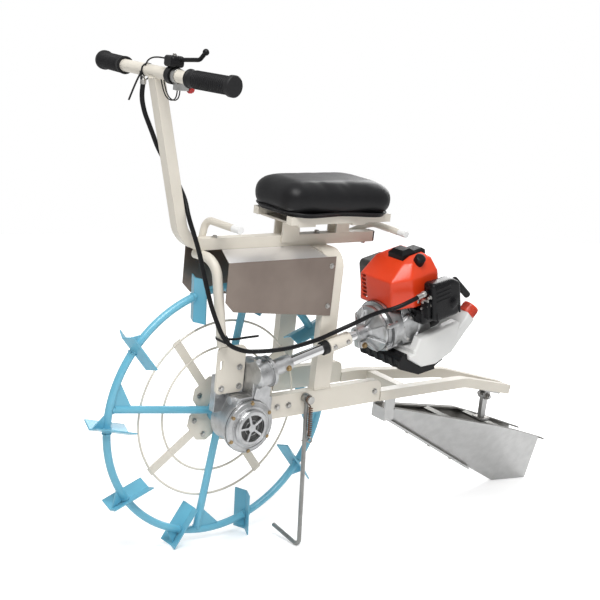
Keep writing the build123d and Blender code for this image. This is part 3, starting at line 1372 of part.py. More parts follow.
CONDUIT_ROUTE = [
    (240, -32, 722), (240, -35, 690), (231, -35, 660), (215, -30, 625), (197, -26, 585), (157, -24, 534),
    (139, -2, 487), (141.5, 20, 453), (122, 40, 386), (114, 60, 326), (100, 75, 264), (80, 90, 211), (64, 100, 188),
    (33, 115, 177), (-31, 108, 169), (-99, 104, 168), (-181, 100, 179), (-225, 103, 194), (-262, 116, 212),
    (-295, 152, 246), (-323, 188, 265), (-362, 197, 283), (-403.5, 198, 298.6),
]


def bend_radii(points):
    """The largest arc that each corner's two runs allow."""
    radii = []
    for before, here, after in zip(points, points[1:], points[2:]):
        arriving = Vector(*here) - Vector(*before)
        leaving = Vector(*after) - Vector(*here)
        turn = radians(arriving.get_angle(leaving))
        radii.append(0.45 * min(arriving.length, leaving.length) / tan(turn / 2))
    return radii


def throttle_conduit():
    radii = bend_radii(CONDUIT_ROUTE)
    return round_tube(CONDUIT_ROUTE, radii, CONDUIT)


parts["throttle_conduit"] = throttle_conduit()


# The machine leans on its stand: machine frame to ground frame

def report(label, point, direction):
    """Print a place in metres and a direction, both in the parked frame."""
    moved = GROUND.to_local_coords(point)
    turned = GROUND.to_local_coords(point + direction) - moved
    print(label, [round(v / 1000, 6) for v in tuple(moved - SHIFT)], [round(v, 6) for v in tuple(turned)])


parked = {name: GROUND.location.inverse() * part for name, part in parts.items()}
boxes = [part.bounding_box() for part in parked.values()]
low = [min(getattr(box.min, axis) for box in boxes) for axis in "XYZ"]
high = [max(getattr(box.max, axis) for box in boxes) for axis in "XYZ"]
SHIFT = Vector((low[0] + high[0]) / 2, (low[1] + high[1]) / 2, low[2])
print("lean", round(degrees(atan2(-ground_up.Y, ground_up.Z)), 2), "degrees to the left")
os.makedirs("parts", exist_ok=True)
for name, part in parked.items():
    export_step(Pos(*(-SHIFT)) * part, f"parts/{name}.step")
report("axle", Vector(0, 0, 0), Vector(0, 1, 0))
report("stand pivot", STAND_TOP, Vector(0, 1, 0))
for label, route in (("front lift middle", FRONT_LIFT), ("rear lift middle", REAR_LIFT)):
    along = (Vector(*route[2]) - Vector(*route[1])).normalized()
    straight = (Vector(*route[2]) - Vector(*route[1])).length - LIFT_BEND + LIFT_CAP
    report(label, Vector(*route[2]) + along * (LIFT_CAP - straight / 2), along)
    print(label, "length", round(straight, 2))
report("plough hollow", Vector(*PLOUGH_HOLLOW), Vector(1, 0, 0))
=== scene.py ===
# %% [markdown]
# # A riding paddy ditcher
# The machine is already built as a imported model: every tube, plate and casting has its real size and
# place. This lesson dresses it: the model is loaded as a fixed frame, each node gets a finish made of
# shader nodes, and small things such as bolts, welds and cable ties are modelled around it.

# %% Load the frame
import json
import math

import bmesh
import bpy
from mathutils import Matrix, Vector


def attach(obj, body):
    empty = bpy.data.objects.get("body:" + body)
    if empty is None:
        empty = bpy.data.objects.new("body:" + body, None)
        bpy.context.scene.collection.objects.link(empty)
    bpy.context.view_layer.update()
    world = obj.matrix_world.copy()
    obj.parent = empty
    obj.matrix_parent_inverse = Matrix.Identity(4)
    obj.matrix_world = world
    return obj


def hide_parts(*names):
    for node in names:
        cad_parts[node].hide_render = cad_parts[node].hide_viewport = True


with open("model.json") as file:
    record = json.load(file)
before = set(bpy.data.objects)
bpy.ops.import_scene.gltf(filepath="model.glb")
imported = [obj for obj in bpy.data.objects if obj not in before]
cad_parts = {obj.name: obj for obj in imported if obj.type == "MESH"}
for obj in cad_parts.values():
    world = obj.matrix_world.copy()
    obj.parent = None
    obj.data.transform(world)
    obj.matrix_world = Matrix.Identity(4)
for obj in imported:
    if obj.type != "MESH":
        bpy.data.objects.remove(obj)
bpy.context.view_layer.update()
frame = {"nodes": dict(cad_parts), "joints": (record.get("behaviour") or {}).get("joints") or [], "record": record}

nodes_by_name = frame["nodes"]

# %% [markdown]
# ## One drawing frame for the details
# The parked machine leans on its stand, so its own axes are turned from the world's. The wheel's joint
# gives the axle's place and direction, and from those two comes a matrix that takes a drawing in the
# machine's own frame, in millimetres from the axle with X forward, Y to the rider's left and Z up, into
# the world. The engine and its tube have a second frame, pitched up towards the rear.

# %% The machine's frame, in millimetres
MM = 0.001
spin = next(joint for joint in frame["joints"] if joint["name"] == "wheel_spin")
axle = Vector(spin["pos_m"])
left = Vector(spin["axis"]).normalized()
forward = Vector((-left.z, 0, left.x)).normalized()
up = forward.cross(left)
PLACE = Matrix.Translation(axle) @ Matrix((forward, left, up)).transposed().to_4x4() @ Matrix.Scale(MM, 4)
TO_MACHINE = PLACE.inverted()
print("lean", round(math.degrees(math.asin(-left.z)), 2), "degrees")

RIGHT = (0, -1, 0)
LEFT = (0, 1, 0)
UP = (0, 0, 1)
DOWN = (0, 0, -1)
UPRIGHT = ((1, 0, 0), LEFT, UP)
DRIVE_ORIGIN = Vector((0, 102, 111))
DRIVE_PITCH = math.radians(13.5)


def drive(d, y, w):
    """A point of the drive's frame: behind its origin, left of its axis and above it."""
    back = Vector((-math.cos(DRIVE_PITCH), 0, math.sin(DRIVE_PITCH)))
    above = Vector((math.sin(DRIVE_PITCH), 0, math.cos(DRIVE_PITCH)))
    return DRIVE_ORIGIN + back * d + Vector((0, 1, 0)) * y + above * w


DRIVE_BACK = drive(1, 0, 0) - drive(0, 0, 0)
DRIVE_FRONT = -DRIVE_BACK
DRIVE_ABOVE = drive(0, 0, 1) - drive(0, 0, 0)
DRIVE_AXES = (DRIVE_BACK, Vector((0, 1, 0)), DRIVE_ABOVE)

# %% [markdown]
# ## Helpers for objects and node trees
# Shaders and grown geometry are both trees of nodes, so one helper adds a node to either. Another keeps
# the mesh that an object's modifiers give and drops the object.

# %% Objects and nodes


def show(name, data):
    """A new object in the scene."""
    thing = bpy.data.objects.new(name, data)
    bpy.context.scene.collection.objects.link(thing)
    return thing


def kept_mesh(thing):
    """The mesh that an object's modifiers give. The object itself is removed."""
    graph = bpy.context.evaluated_depsgraph_get()
    mesh = bpy.data.meshes.new_from_object(thing.evaluated_get(graph), depsgraph=graph)
    bpy.data.objects.remove(thing)
    return mesh


def add_node(tree, kind, inputs=None, **settings):
    """A node with its settings. Each input gets a value, or a link from an output socket."""
    node = tree.nodes.new(kind)
    for label, value in settings.items():
        setattr(node, label, value)
    for label, given in (inputs or {}).items():
        if isinstance(given, bpy.types.NodeSocket):
            tree.links.new(given, node.inputs[label])
        else:
            node.inputs[label].default_value = given
    return node


def range_value(tree, value, low, high, start, end):
    """A value's run from start to end, spread over low to high."""
    limits = {"From Min": start, "From Max": end, "To Min": low, "To Max": high}
    return add_node(tree, "ShaderNodeMapRange", {"Value": value, **limits}).outputs["Result"]


def new_finish(name, colour, roughness, metallic=0.0, coat=0.0, shine=0.5):
    """A material of one plain colour, to which a finish adds its nodes."""
    material = bpy.data.materials.new(name)
    material.use_nodes = True
    shader = material.node_tree.nodes["Principled BSDF"]
    plain = {"Base Color": (*colour, 1), "Roughness": roughness, "Metallic": metallic, "Coat Weight": coat,
             "Coat Roughness": 0.12, "Specular IOR Level": shine}
    for label, value in plain.items():
        shader.inputs[label].default_value = value
    return material, material.node_tree, shader


# %% [markdown]
# ## The camera
# The photograph's camera was found by fitting the wheel's ring, its wire guard and the top beam. It
# stands in front and to the left, a little above the saddle's height, with a lens of about 68 mm. Its
# place is drawn in the machine's frame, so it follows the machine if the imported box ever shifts.

# %% Camera
CAMERA_AT = Vector((1402.3, 1968.3, 892.7))
CAMERA_VIEW = Vector((-0.6103, -0.7523, -0.2482))
CAMERA_UP = Vector((-0.0731, -0.2585, 0.9633))
CAMERA_LENS = 67.8
SENSOR_WIDTH = 36.0

camera_data = bpy.data.cameras.new("camera")
camera_data.lens = CAMERA_LENS
camera_data.sensor_width = SENSOR_WIDTH
camera = show("camera", camera_data)
turn = PLACE.to_3x3().normalized()
back = -(turn @ CAMERA_VIEW).normalized()
across = (turn @ CAMERA_UP).cross(back).normalized()
camera_axes = Matrix((across, back.cross(across), back)).transposed().to_4x4()
camera.matrix_world = Matrix.Translation(PLACE @ CAMERA_AT) @ camera_axes
bpy.context.scene.camera = camera
bpy.context.scene.view_settings.view_transform = "Standard"

# %% [markdown]
# ## Floor and light
# The floor glows a little, more so further out, so that its edge is lost in white. The world is white to
# the eye, but what mirrors it sees grey on the camera's side, which gives bright metal its contrast. A
# large lamp above the left front gives the form its shade, and one behind lights the rear.

# %% Floor, lamps and world
FLOOR_HALF = 12.0
FLOOR_GREY = 0.90
GLOW = (0.26, 0.75)
GLOW_REACH = (0.5, 2.4)
DIM_SIDE = (0.62, 0.78, -0.10)
SKY = (0.66, 0.10)
SKY_REACH = (-0.05, 0.92)
LAMPS = {"key": ((1.5, 1.7, 2.9), 1.7, 92), "rear": ((-2.2, -1.2, 2.2), 1.6, 45)}
LAMP_AIM = Vector((0, 0, 0.4))


def stage_floor():
    mesh = bpy.data.meshes.new("floor")
    corners = [(x * FLOOR_HALF, y * FLOOR_HALF, 0) for x, y in ((-1, -1), (1, -1), (1, 1), (-1, 1))]
    mesh.from_pydata(corners, [], [(0, 1, 2, 3)])
    floor = show("floor", mesh)
    material, tree, shader = new_finish("pale_floor", [FLOOR_GREY] * 3, 0.7, shine=0.1)
    place = add_node(tree, "ShaderNodeTexCoord")
    away = add_node(tree, "ShaderNodeVectorMath", {0: place.outputs["Object"]}, operation="LENGTH")
    paler = range_value(tree, away.outputs["Value"], *GLOW, *GLOW_REACH)
    seen = add_node(tree, "ShaderNodeLightPath").outputs["Is Camera Ray"]
    lift = add_node(tree, "ShaderNodeMath", {0: seen, 1: paler}, operation="MULTIPLY")
    glow = add_node(tree, "ShaderNodeEmission", {"Strength": lift.outputs[0]})
    both = add_node(tree, "ShaderNodeAddShader", {0: shader.outputs["BSDF"], 1: glow.outputs["Emission"]})
    tree.links.new(both.outputs["Shader"], tree.nodes["Material Output"].inputs["Surface"])
    mesh.materials.append(material)


def studio_world():
    world = bpy.data.worlds.new("studio")
    bpy.context.scene.world = world
    world.use_nodes = True
    tree = world.node_tree
    sky = tree.nodes["Background"]
    sky.inputs["Color"].default_value = (1, 1, 1, 1)
    place = add_node(tree, "ShaderNodeTexCoord").outputs["Generated"]
    facing = add_node(tree, "ShaderNodeVectorMath", {0: place, 1: DIM_SIDE}, operation="DOT_PRODUCT")
    spread = range_value(tree, facing.outputs["Value"], *SKY, *SKY_REACH)
    seen = add_node(tree, "ShaderNodeLightPath").outputs["Is Camera Ray"]
    bright = add_node(tree, "ShaderNodeMath", {0: spread, 1: seen}, operation="MAXIMUM")
    tree.links.new(bright.outputs[0], sky.inputs["Strength"])


def area_lamp(name, at, size, watts):
    data = bpy.data.lights.new(name, "AREA")
    data.size = size
    data.energy = watts
    lamp = show(name, data)
    lamp.location = at
    lamp.rotation_euler = (LAMP_AIM - Vector(at)).to_track_quat("-Z", "Y").to_euler()


stage_floor()
studio_world()
for name, lamp in LAMPS.items():
    area_lamp(name, *lamp)

# %% [markdown]
# ## Finishes
# Each finish is a small shader tree on Object coordinates, which are metres in the world because every
# node sits at the origin. A slow noise shifts colour and gloss in soft patches, and a fine one gives the
# surface its grain as bump. Painted shade darkens the edges of the paint and a painted highlight lightens
# those of cast alloy; faces that look up get painted light on the sheet guards and painted shade inside
# the plough.

# %% Shader helpers
BUMP_STRENGTH = 0.5
BEVEL_SAMPLES = 6
EDGE_SHADING_SCALE = 60.0
EDGE_SHADING_SPREAD = 1.3


def noise_on(tree, scale, detail=3.0, stretch=(1, 1, 1)):
    coords = add_node(tree, "ShaderNodeTexCoord").outputs["Object"]
    mapping = add_node(tree, "ShaderNodeMapping", {"Vector": coords, "Scale": stretch}).outputs["Vector"]
    noise = add_node(tree, "ShaderNodeTexNoise", {"Vector": mapping, "Scale": scale, "Detail": detail})
    return noise.outputs["Fac"]


def ramp_colour(tree, value, low, high):
    ramp = add_node(tree, "ShaderNodeValToRGB", {"Fac": value})
    for element, position, colour in zip(ramp.color_ramp.elements, (0.35, 0.65), (low, high)):
        element.position = position
        element.color = (*colour, 1)
    return ramp.outputs["Color"]


def mix_colour(tree, share, first, second):
    """Blend from one colour socket to a set colour."""
    mix = add_node(tree, "ShaderNodeMix", {"Factor": share, 6: first, 7: (*second, 1)}, data_type="RGBA")
    return mix.outputs[2]


def soft_normal(tree, edge):
    """A normal that rounds hard edges off by a small radius."""
    return add_node(tree, "ShaderNodeBevel", {"Radius": edge}, samples=BEVEL_SAMPLES).outputs["Normal"]


def flat_normal(tree):
    return add_node(tree, "ShaderNodeNewGeometry").outputs["Normal"]


def edge_shading_mask(tree, edge, breakup):
    """How far a rounded normal leaves the flat one, broken up by noise: where edges get painted shade and, on cast
    alloy, a painted highlight.
    """
    normals = {0: soft_normal(tree, edge), 1: flat_normal(tree)}
    agree = add_node(tree, "ShaderNodeVectorMath", normals, operation="DOT_PRODUCT")
    painted_edge = range_value(tree, agree.outputs["Value"], 1.0, 0.0, 0.80, 0.97)
    kept = range_value(tree, breakup, 0.15, 0.9, 0.35, 0.65)
    return add_node(tree, "ShaderNodeMath", {0: painted_edge, 1: kept}, operation="MULTIPLY").outputs[0]


def patchy_finish(name, colour, shade, roughness, metallic=0.0, coat=0.0, patch=9.0, grain=900.0,
                  depth=0.0002, stretch=(1, 1, 1), shine=0.5, edge=0.0014, painted_edge=None, inside=None,
                  upward=(0.02, 0.12)):
    """Soft patches of colour and gloss, a fine grain, painted shade and highlight on edges, and a painted colour
    of light and shade for faces that look up.
    """
    material, tree, shader = new_finish(name, colour, roughness[0], metallic, coat, shine)
    slow = noise_on(tree, patch)
    fine = noise_on(tree, grain, 2.0, stretch)
    tone = ramp_colour(tree, slow, shade, colour)
    # painted shade along the edges of the paint, a painted highlight along the edges of cast alloy
    if painted_edge:
        tone = mix_colour(tree, edge_shading_mask(tree, edge * EDGE_SHADING_SPREAD, noise_on(tree, EDGE_SHADING_SCALE)), tone, painted_edge)
    # the inside colour is painted: painted light on the top fold of the sheet guards, painted shade inside the
    # plough
    if inside:
        split = add_node(tree, "ShaderNodeSeparateXYZ", {"Vector": flat_normal(tree)})
        tone = mix_colour(tree, range_value(tree, split.outputs["Z"], 0.0, 1.0, *upward), tone, inside)
    blend = add_node(tree, "ShaderNodeMath", {0: slow, 1: fine}, operation="ADD").outputs[0]
    grainy = {"Height": fine, "Normal": soft_normal(tree, edge), "Strength": BUMP_STRENGTH, "Distance": depth}
    bump = add_node(tree, "ShaderNodeBump", grainy).outputs["Normal"]
    gloss = range_value(tree, blend, *roughness, 0.7, 1.3)
    for label, socket in (("Base Color", tone), ("Roughness", gloss), ("Normal", bump)):
        tree.links.new(socket, shader.inputs[label])
    return material


# %% The machine's finishes
# each has its name, its colour and darker shade, the range of its roughness and how metallic it is
# the darker edge colours of the blue and ivory paint are painted shade, the lighter one of cast alloy a painted
# highlight
FINISHES = {
    "wheel_blue": patchy_finish(
        "sky_blue_paint", (0.155, 0.475, 0.63), (0.13, 0.425, 0.58), (0.28, 0.42), coat=0.35, grain=350,
        painted_edge=(0.06, 0.24, 0.36)),
    "frame_ivory": patchy_finish(
        "ivory_paint", (0.735, 0.69, 0.605), (0.69, 0.645, 0.56), (0.34, 0.48), coat=0.2, grain=350,
        painted_edge=(0.52, 0.47, 0.39)),
    # painted shade and reflection: the dark brown base stands for the shaded side mirroring the floor, and the
    # near-white inside colour is painted light on the top fold
    "sheet_steel": patchy_finish(
        "satin_sheet", (0.26, 0.215, 0.185), (0.21, 0.168, 0.145), (0.28, 0.36), 0.7, grain=30,
        stretch=(1, 26, 26), depth=0.00003, inside=(0.86, 0.85, 0.85), upward=(0.3, 0.45)),
    "cast_alloy": patchy_finish(
        "cast_alloy", (0.60, 0.605, 0.61), (0.41, 0.415, 0.42), (0.26, 0.48), 1.0, patch=34.0, grain=420,
        depth=0.0012, painted_edge=(0.80, 0.80, 0.80)),
    "bright_tube": patchy_finish(
        "bright_chrome", (0.85, 0.85, 0.85), (0.80, 0.80, 0.81), (0.05, 0.11), 1.0, grain=200),
    "cover_orange": patchy_finish(
        "orange_cover", (0.76, 0.052, 0.008), (0.70, 0.043, 0.007), (0.30, 0.42), coat=0.15, grain=500,
        edge=0.006),
    "black_plastic": patchy_finish(
        "black_plastic", (0.005, 0.005, 0.006), (0.009, 0.009, 0.010), (0.30, 0.44), grain=1200, depth=0.0003,
        shine=0.2),
    "tank_white": patchy_finish("milky_tank", (0.76, 0.76, 0.74), (0.69, 0.69, 0.68), (0.3, 0.42), grain=400),
    "white_plastic": patchy_finish("white_cap", (0.86, 0.86, 0.85), (0.82, 0.82, 0.81), (0.3, 0.4)),
    "grip_rubber": patchy_finish(
        "grip_rubber", (0.006, 0.006, 0.007), (0.011, 0.011, 0.012), (0.48, 0.62), grain=1500, shine=0.3),
    "saddle_black": patchy_finish(
        "saddle_vinyl", (0.005, 0.005, 0.006), (0.008, 0.008, 0.009), (0.36, 0.50), grain=900, shine=0.3),
    "dark_steel": patchy_finish(
        "dark_steel", (0.10, 0.10, 0.10), (0.06, 0.055, 0.05), (0.35, 0.55), 0.9, grain=400),
    "bare_steel": patchy_finish(
        "zinc_steel", (0.56, 0.55, 0.53), (0.44, 0.43, 0.41), (0.26, 0.42), 1.0, patch=20.0, grain=500),
    "spring_brown": patchy_finish(
        "brown_spring", (0.17, 0.095, 0.06), (0.12, 0.07, 0.045), (0.4, 0.6), 0.3, grain=600),
}
# painted shade: the dark inside colour darkens the plough's faces that look up, where shade falls inside it
GALVANISED = patchy_finish(
    "galvanised", (0.60, 0.60, 0.595), (0.53, 0.53, 0.525), (0.32, 0.48), 0.7, patch=40.0, grain=260,
    inside=(0.22, 0.21, 0.195))
GOLD_ZINC = patchy_finish("yellow_zinc", (0.42, 0.30, 0.15), (0.28, 0.20, 0.11), (0.30, 0.46), 1.0, grain=600)
BUTTON_RED = patchy_finish(
    "button_red", (0.50, 0.012, 0.012), (0.42, 0.010, 0.010), (0.25, 0.35), grain=600)
ZINC_DIPPED = ("plough_shell", "plough_keel", "plough_bracket", "tail_bracket", "hitch_link")
OWN_FINISHES = {
    **dict.fromkeys(ZINC_DIPPED, GALVANISED),
    "plough_frame": patchy_finish(
        "shaded_steel", (0.20, 0.20, 0.19), (0.13, 0.125, 0.115), (0.38, 0.56), 0.8, patch=40.0, grain=300),
    "stand_leg": patchy_finish(
        "stand_zinc", (0.36, 0.36, 0.35), (0.26, 0.26, 0.25), (0.24, 0.40), 1.0, patch=25.0, grain=500),
    "air_cleaner": patchy_finish(
        "cleaner_plastic", (0.004, 0.004, 0.005), (0.007, 0.007, 0.008), (0.20, 0.32), grain=900, shine=0.25,
        edge=0.007),
    "stop_switch": patchy_finish(
        "switch_metal", (0.46, 0.46, 0.45), (0.34, 0.34, 0.33), (0.28, 0.42), 1.0, patch=40.0, grain=600),
}
slot_of = {row["node"]: row["material_slot"] for row in frame["record"]["subparts"]}
finish_of = {node: OWN_FINISHES.get(node, FINISHES[slot]) for node, slot in slot_of.items()}
for name, piece in nodes_by_name.items():
    piece.data.materials.clear()
    piece.data.materials.append(finish_of[name])

# %% [markdown]
# ## Drawing helpers
# Small hard parts are drawn straight into meshes. A turned part is a profile swept round an axis, as on a
# lathe. A tube follows a line with a round section. A tie is a flat band that wraps two round tubes.

# %% Mesh helpers
SHARP = 38
SOFT = 60
ROUND = 80
TURNED_SIDES = 28
TIE_STEPS = 56
TIE_GAP = 0.15


def add_piece(name, shape, slot, finish=None, crease=SHARP, body="frame"):
    """Take a drawing in the machine's millimetres into the world, as one piece that rides on a body."""
    bmesh.ops.recalc_face_normals(shape, faces=shape.faces)
    mesh = bpy.data.meshes.new(name)
    shape.to_mesh(mesh)
    shape.free()
    mesh.transform(PLACE)
    return settle_piece(name, mesh, body, finish or FINISHES[slot], crease)


def settle_piece(name, mesh, body, finish, crease):
    """Shade a world mesh by its edges' angles, give it a finish and let it ride on a body."""
    mesh.shade_smooth()
    mesh.set_sharp_from_angle(angle=math.radians(crease))
    mesh.materials.clear()
    mesh.materials.append(finish)
    piece = show(name, mesh)
    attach(piece, body)
    print(name, len(mesh.polygons), "faces on", body)
    return piece


def across_axis(axis):
    """An axis as a unit direction, and two directions across it."""
    along = Vector(axis).normalized()
    side = along.orthogonal().normalized()
    return along, side, along.cross(side)


def around(side, other, count):
    """Directions evenly round a circle."""
    turns = [2 * math.pi * i / count for i in range(count)]
    return [side * math.cos(turn) + other * math.sin(turn) for turn in turns]


def join_rings(shape, rings, closed):
    """Faces from each ring of points to the next, with open ends filled."""
    pairs = list(zip(rings, rings[1:]))
    if closed:
        pairs.append((rings[-1], rings[0]))
    for low, high in pairs:
        sides = max(len(low), len(high))
        for i in range(sides):
            j = (i + 1) % sides
            corners = [low[i % len(low)], low[j % len(low)], high[j % len(high)], high[i % len(high)]]
            shape.faces.new(list(dict.fromkeys(corners)))
    if not closed:
        for ring in (rings[0], rings[-1]):
            if len(ring) > 2:
                shape.faces.new(ring)


def add_turned(shape, base, axis, profile, sides=TURNED_SIDES):
    """Turn a profile of (distance along the axis, radius) about an axis from a base point."""
    along, side, other = across_axis(axis)
    rings = []
    for step, radius in profile:
        middle = Vector(base) + along * step
        if radius == 0:
            rings.append([shape.verts.new(middle)])
            continue
        rings.append([shape.verts.new(middle + out * radius) for out in around(side, other, sides)])
    join_rings(shape, rings, False)


def turned_piece(name, base, axis, profile, sides, slot, finish=None):
    """One turned part as a piece of its own."""
    shape = bmesh.new()
    add_turned(shape, base, axis, profile, sides)
    add_piece(name, shape, slot, finish)


def add_tube(shape, points, radius, sides=8, closed=False):
    """A round bar along a line of points, its section carried on without twist."""
    points = [Vector(p) for p in points]
    count = len(points)
    rings = []
    _, side, _ = across_axis(points[1] - points[0])
    for i, point in enumerate(points):
        before = points[i - 1] if i or closed else point
        after = points[(i + 1) % count] if i + 1 < count or closed else point
        along = (after - before).normalized()
        side = (side - along * side.dot(along)).normalized()
        outward = around(side, along.cross(side), sides)
        rings.append([shape.verts.new(point + out * radius) for out in outward])
    join_rings(shape, rings, closed)


def add_strip(shape, points, wide, width, thick):
    """A flat strip along a line of points, with its width in one direction."""
    wide = Vector(wide).normalized()
    points = [Vector(p) for p in points]
    corners = ((-1, -1), (1, -1), (1, 1), (-1, 1))
    rings = []
    for i, point in enumerate(points):
        along = (points[min(i + 1, len(points) - 1)] - points[max(i - 1, 0)]).normalized()
        out = along.cross(wide).normalized()
        offsets = [wide * (a * width / 2) + out * (b * thick / 2) for a, b in corners]
        rings.append([shape.verts.new(point + offset) for offset in offsets])
    join_rings(shape, rings, False)


def add_block(shape, centre, size, axes, bevel):
    """A box with rounded edges, turned to three axes."""
    turned = Matrix([Vector(a).normalized() for a in axes]).transposed().to_4x4()
    placed = Matrix.Translation(centre) @ turned @ Matrix.Diagonal((*size, 1))
    box = bmesh.ops.create_cube(shape, size=1.0, matrix=placed)
    edges = {edge for vert in box["verts"] for edge in vert.link_edges}
    bmesh.ops.bevel(shape, geom=list(edges), offset=bevel, segments=2, profile=0.5, affect="EDGES")


def tie_band(shape, axis, circles, width, thick):
    """A flat band pulled round two tubes: each way it lies on the tube that reaches furthest that way."""
    along, side, other = across_axis(axis)
    corners = ((-1, TIE_GAP), (1, TIE_GAP), (1, thick), (-1, thick))
    rings = []
    for out in around(side, other, TIE_STEPS):
        centre, radius = max(circles, key=lambda circle: Vector(circle[0]).dot(out) + circle[1])
        inner = Vector(centre) + out * radius
        rings.append([shape.verts.new(inner + along * (a * width / 2) + out * t) for a, t in corners])
    join_rings(shape, rings, True)


def smooth_line(points):
    """Points read from a smooth spline through a short list of given ones."""
    data = bpy.data.curves.new("line", "CURVE")
    data.dimensions = "3D"
    data.resolution_u = 8
    spline = data.splines.new("NURBS")
    spline.points.add(len(points) - 1)
    for point, place in zip(spline.points, points):
        point.co = (*place, 1)
    spline.order_u = 3
    spline.use_endpoint_u = True
    return [vert.co.copy() for vert in kept_mesh(show("line", data)).vertices]


# %% [markdown]
# ## Geometry Nodes for what repeats
# The machine has dozens of the same bolts, weld beads and rings. Each kind is one small node tree with
# named inputs. It is run once on its points or lines, and the result is kept as a plain mesh.

# %% Node tree helpers


def node_tree(name, inputs):
    """A geometry tree with named inputs, each a whole number or a length."""
    tree = bpy.data.node_groups.new(name, "GeometryNodeTree")
    tree.interface.new_socket("Geometry", in_out="INPUT", socket_type="NodeSocketGeometry")
    for label, value in inputs.items():
        kind = "NodeSocketInt" if isinstance(value, int) else "NodeSocketFloat"
        tree.interface.new_socket(label, in_out="INPUT", socket_type=kind).default_value = value
    tree.interface.new_socket("Finish", in_out="INPUT", socket_type="NodeSocketMaterial")
    tree.interface.new_socket("Geometry", in_out="OUTPUT", socket_type="NodeSocketGeometry")
    return tree, tree.nodes.new("NodeGroupInput"), tree.nodes.new("NodeGroupOutput")


def end_tree(tree, enter, leave, geometry):
    """Make the copies real and give them the finish."""
    real = add_node(tree, "GeometryNodeRealizeInstances", {"Geometry": geometry}).outputs["Geometry"]
    finish = enter.outputs["Finish"]
    painted = add_node(tree, "GeometryNodeSetMaterial", {"Geometry": real, "Material": finish})
    tree.links.new(painted.outputs["Geometry"], leave.inputs["Geometry"])


def set_on_points(tree, enter, leave, part):
    """Copy a part onto each point, turned the way the point faces and scaled by its size."""
    read = {}
    for label, kind in (("facing", "FLOAT_VECTOR"), ("size", "FLOAT")):
        node = add_node(tree, "GeometryNodeInputNamedAttribute", {"Name": label}, data_type=kind)
        read[label] = node.outputs["Attribute"]
    turn = add_node(tree, "FunctionNodeAlignRotationToVector", {"Vector": read["facing"]}, axis="Z")
    copies = add_node(tree, "GeometryNodeInstanceOnPoints", {
        "Points": enter.outputs["Geometry"], "Instance": part, "Rotation": turn.outputs["Rotation"],
        "Scale": read["size"],
    })
    end_tree(tree, enter, leave, copies.outputs["Instances"])


def grow(name, base, tree, values, slot, finish=None, crease=SHARP, body="frame"):
    """Run a tree once on a base mesh in the machine's millimetres, and keep the result as a plain piece."""
    finish = finish or FINISHES[slot]
    seed = show(name + "_seed", base)
    modifier = seed.modifiers.new("grow", "NODES")
    modifier.node_group = tree
    values = {**values, "Finish": finish}
    for item in tree.interface.items_tree:
        if item.in_out == "INPUT" and item.name in values:
            modifier[item.identifier] = values[item.name]
    mesh = kept_mesh(seed)
    mesh.name = name
    mesh.transform(PLACE)
    return settle_piece(name, mesh, body, finish, crease)


def placed_points(rows):
    """A mesh of loose points, each with the direction it faces and its size."""
    mesh = bpy.data.meshes.new("points")
    mesh.from_pydata([row[0] for row in rows], [], [])
    mesh.attributes.new("facing", "FLOAT_VECTOR", "POINT")
    mesh.attributes.new("size", "FLOAT", "POINT")
    for i, (_, direction, radius) in enumerate(rows):
        mesh.attributes["facing"].data[i].vector = Vector(direction).normalized()
        mesh.attributes["size"].data[i].value = radius
    return mesh


def lines_mesh(lines):
    """A mesh of loose lines, each a list of points."""
    mesh = bpy.data.meshes.new("lines")
    points = []
    edges = []
    for line in lines:
        start = len(points)
        points.extend(Vector(p) for p in line)
        edges.extend((start + i, start + i + 1) for i in range(len(line) - 1))
    mesh.from_pydata(points, edges, [])
    return mesh


# %% Bolt tree
def bolt_tree():
    """A washer, a head of so many sides and the round crown on it, in units of the head's radius."""
    tree, enter, leave = node_tree("bolts", {"Sides": 6, "Height": 0.66})
    height = enter.outputs["Height"]
    washer = add_node(tree, "GeometryNodeMeshCylinder", {"Vertices": 28, "Radius": 1.34, "Depth": 0.22})
    head = add_node(tree, "GeometryNodeMeshCylinder", {"Vertices": enter.outputs["Sides"], "Depth": height})
    crown = add_node(tree, "GeometryNodeMeshCylinder", {"Vertices": 28, "Radius": 0.80, "Depth": 0.10})
    middle = add_node(tree, "ShaderNodeMath", {0: height, 1: 0.5, 2: 0.2}, operation="MULTIPLY_ADD")
    top = add_node(tree, "ShaderNodeMath", {0: height, 1: 0.24}, operation="ADD")
    bolt = tree.nodes.new("GeometryNodeJoinGeometry")
    for part, lift in ((washer, 0.10), (head, middle.outputs[0]), (crown, top.outputs[0])):
        rise = add_node(tree, "ShaderNodeCombineXYZ", {"Z": lift}).outputs[0]
        placed = {"Geometry": part.outputs["Mesh"], "Translation": rise}
        moved = add_node(tree, "GeometryNodeTransform", placed).outputs["Geometry"]
        tree.links.new(moved, bolt.inputs["Geometry"])
    set_on_points(tree, enter, leave, bolt.outputs["Geometry"])
    return tree


# %% Bead, spring and ring trees
def bead_tree():
    """Overlapping beads along lines, as a weld's ripples."""
    tree, enter, leave = node_tree("beads", {"Pitch": 2.4, "Radius": 2.2})
    curve = add_node(tree, "GeometryNodeMeshToCurve", {"Mesh": enter.outputs["Geometry"]}).outputs["Curve"]
    spaced = {"Curve": curve, "Length": enter.outputs["Pitch"]}
    even = add_node(tree, "GeometryNodeResampleCurve", spaced, mode="LENGTH").outputs["Curve"]
    ball = {"Radius": enter.outputs["Radius"], "Subdivisions": 2}
    bead = add_node(tree, "GeometryNodeMeshIcoSphere", ball).outputs["Mesh"]
    copies = add_node(tree, "GeometryNodeInstanceOnPoints", {"Points": even, "Instance": bead})
    end_tree(tree, enter, leave, copies.outputs["Instances"])
    return tree


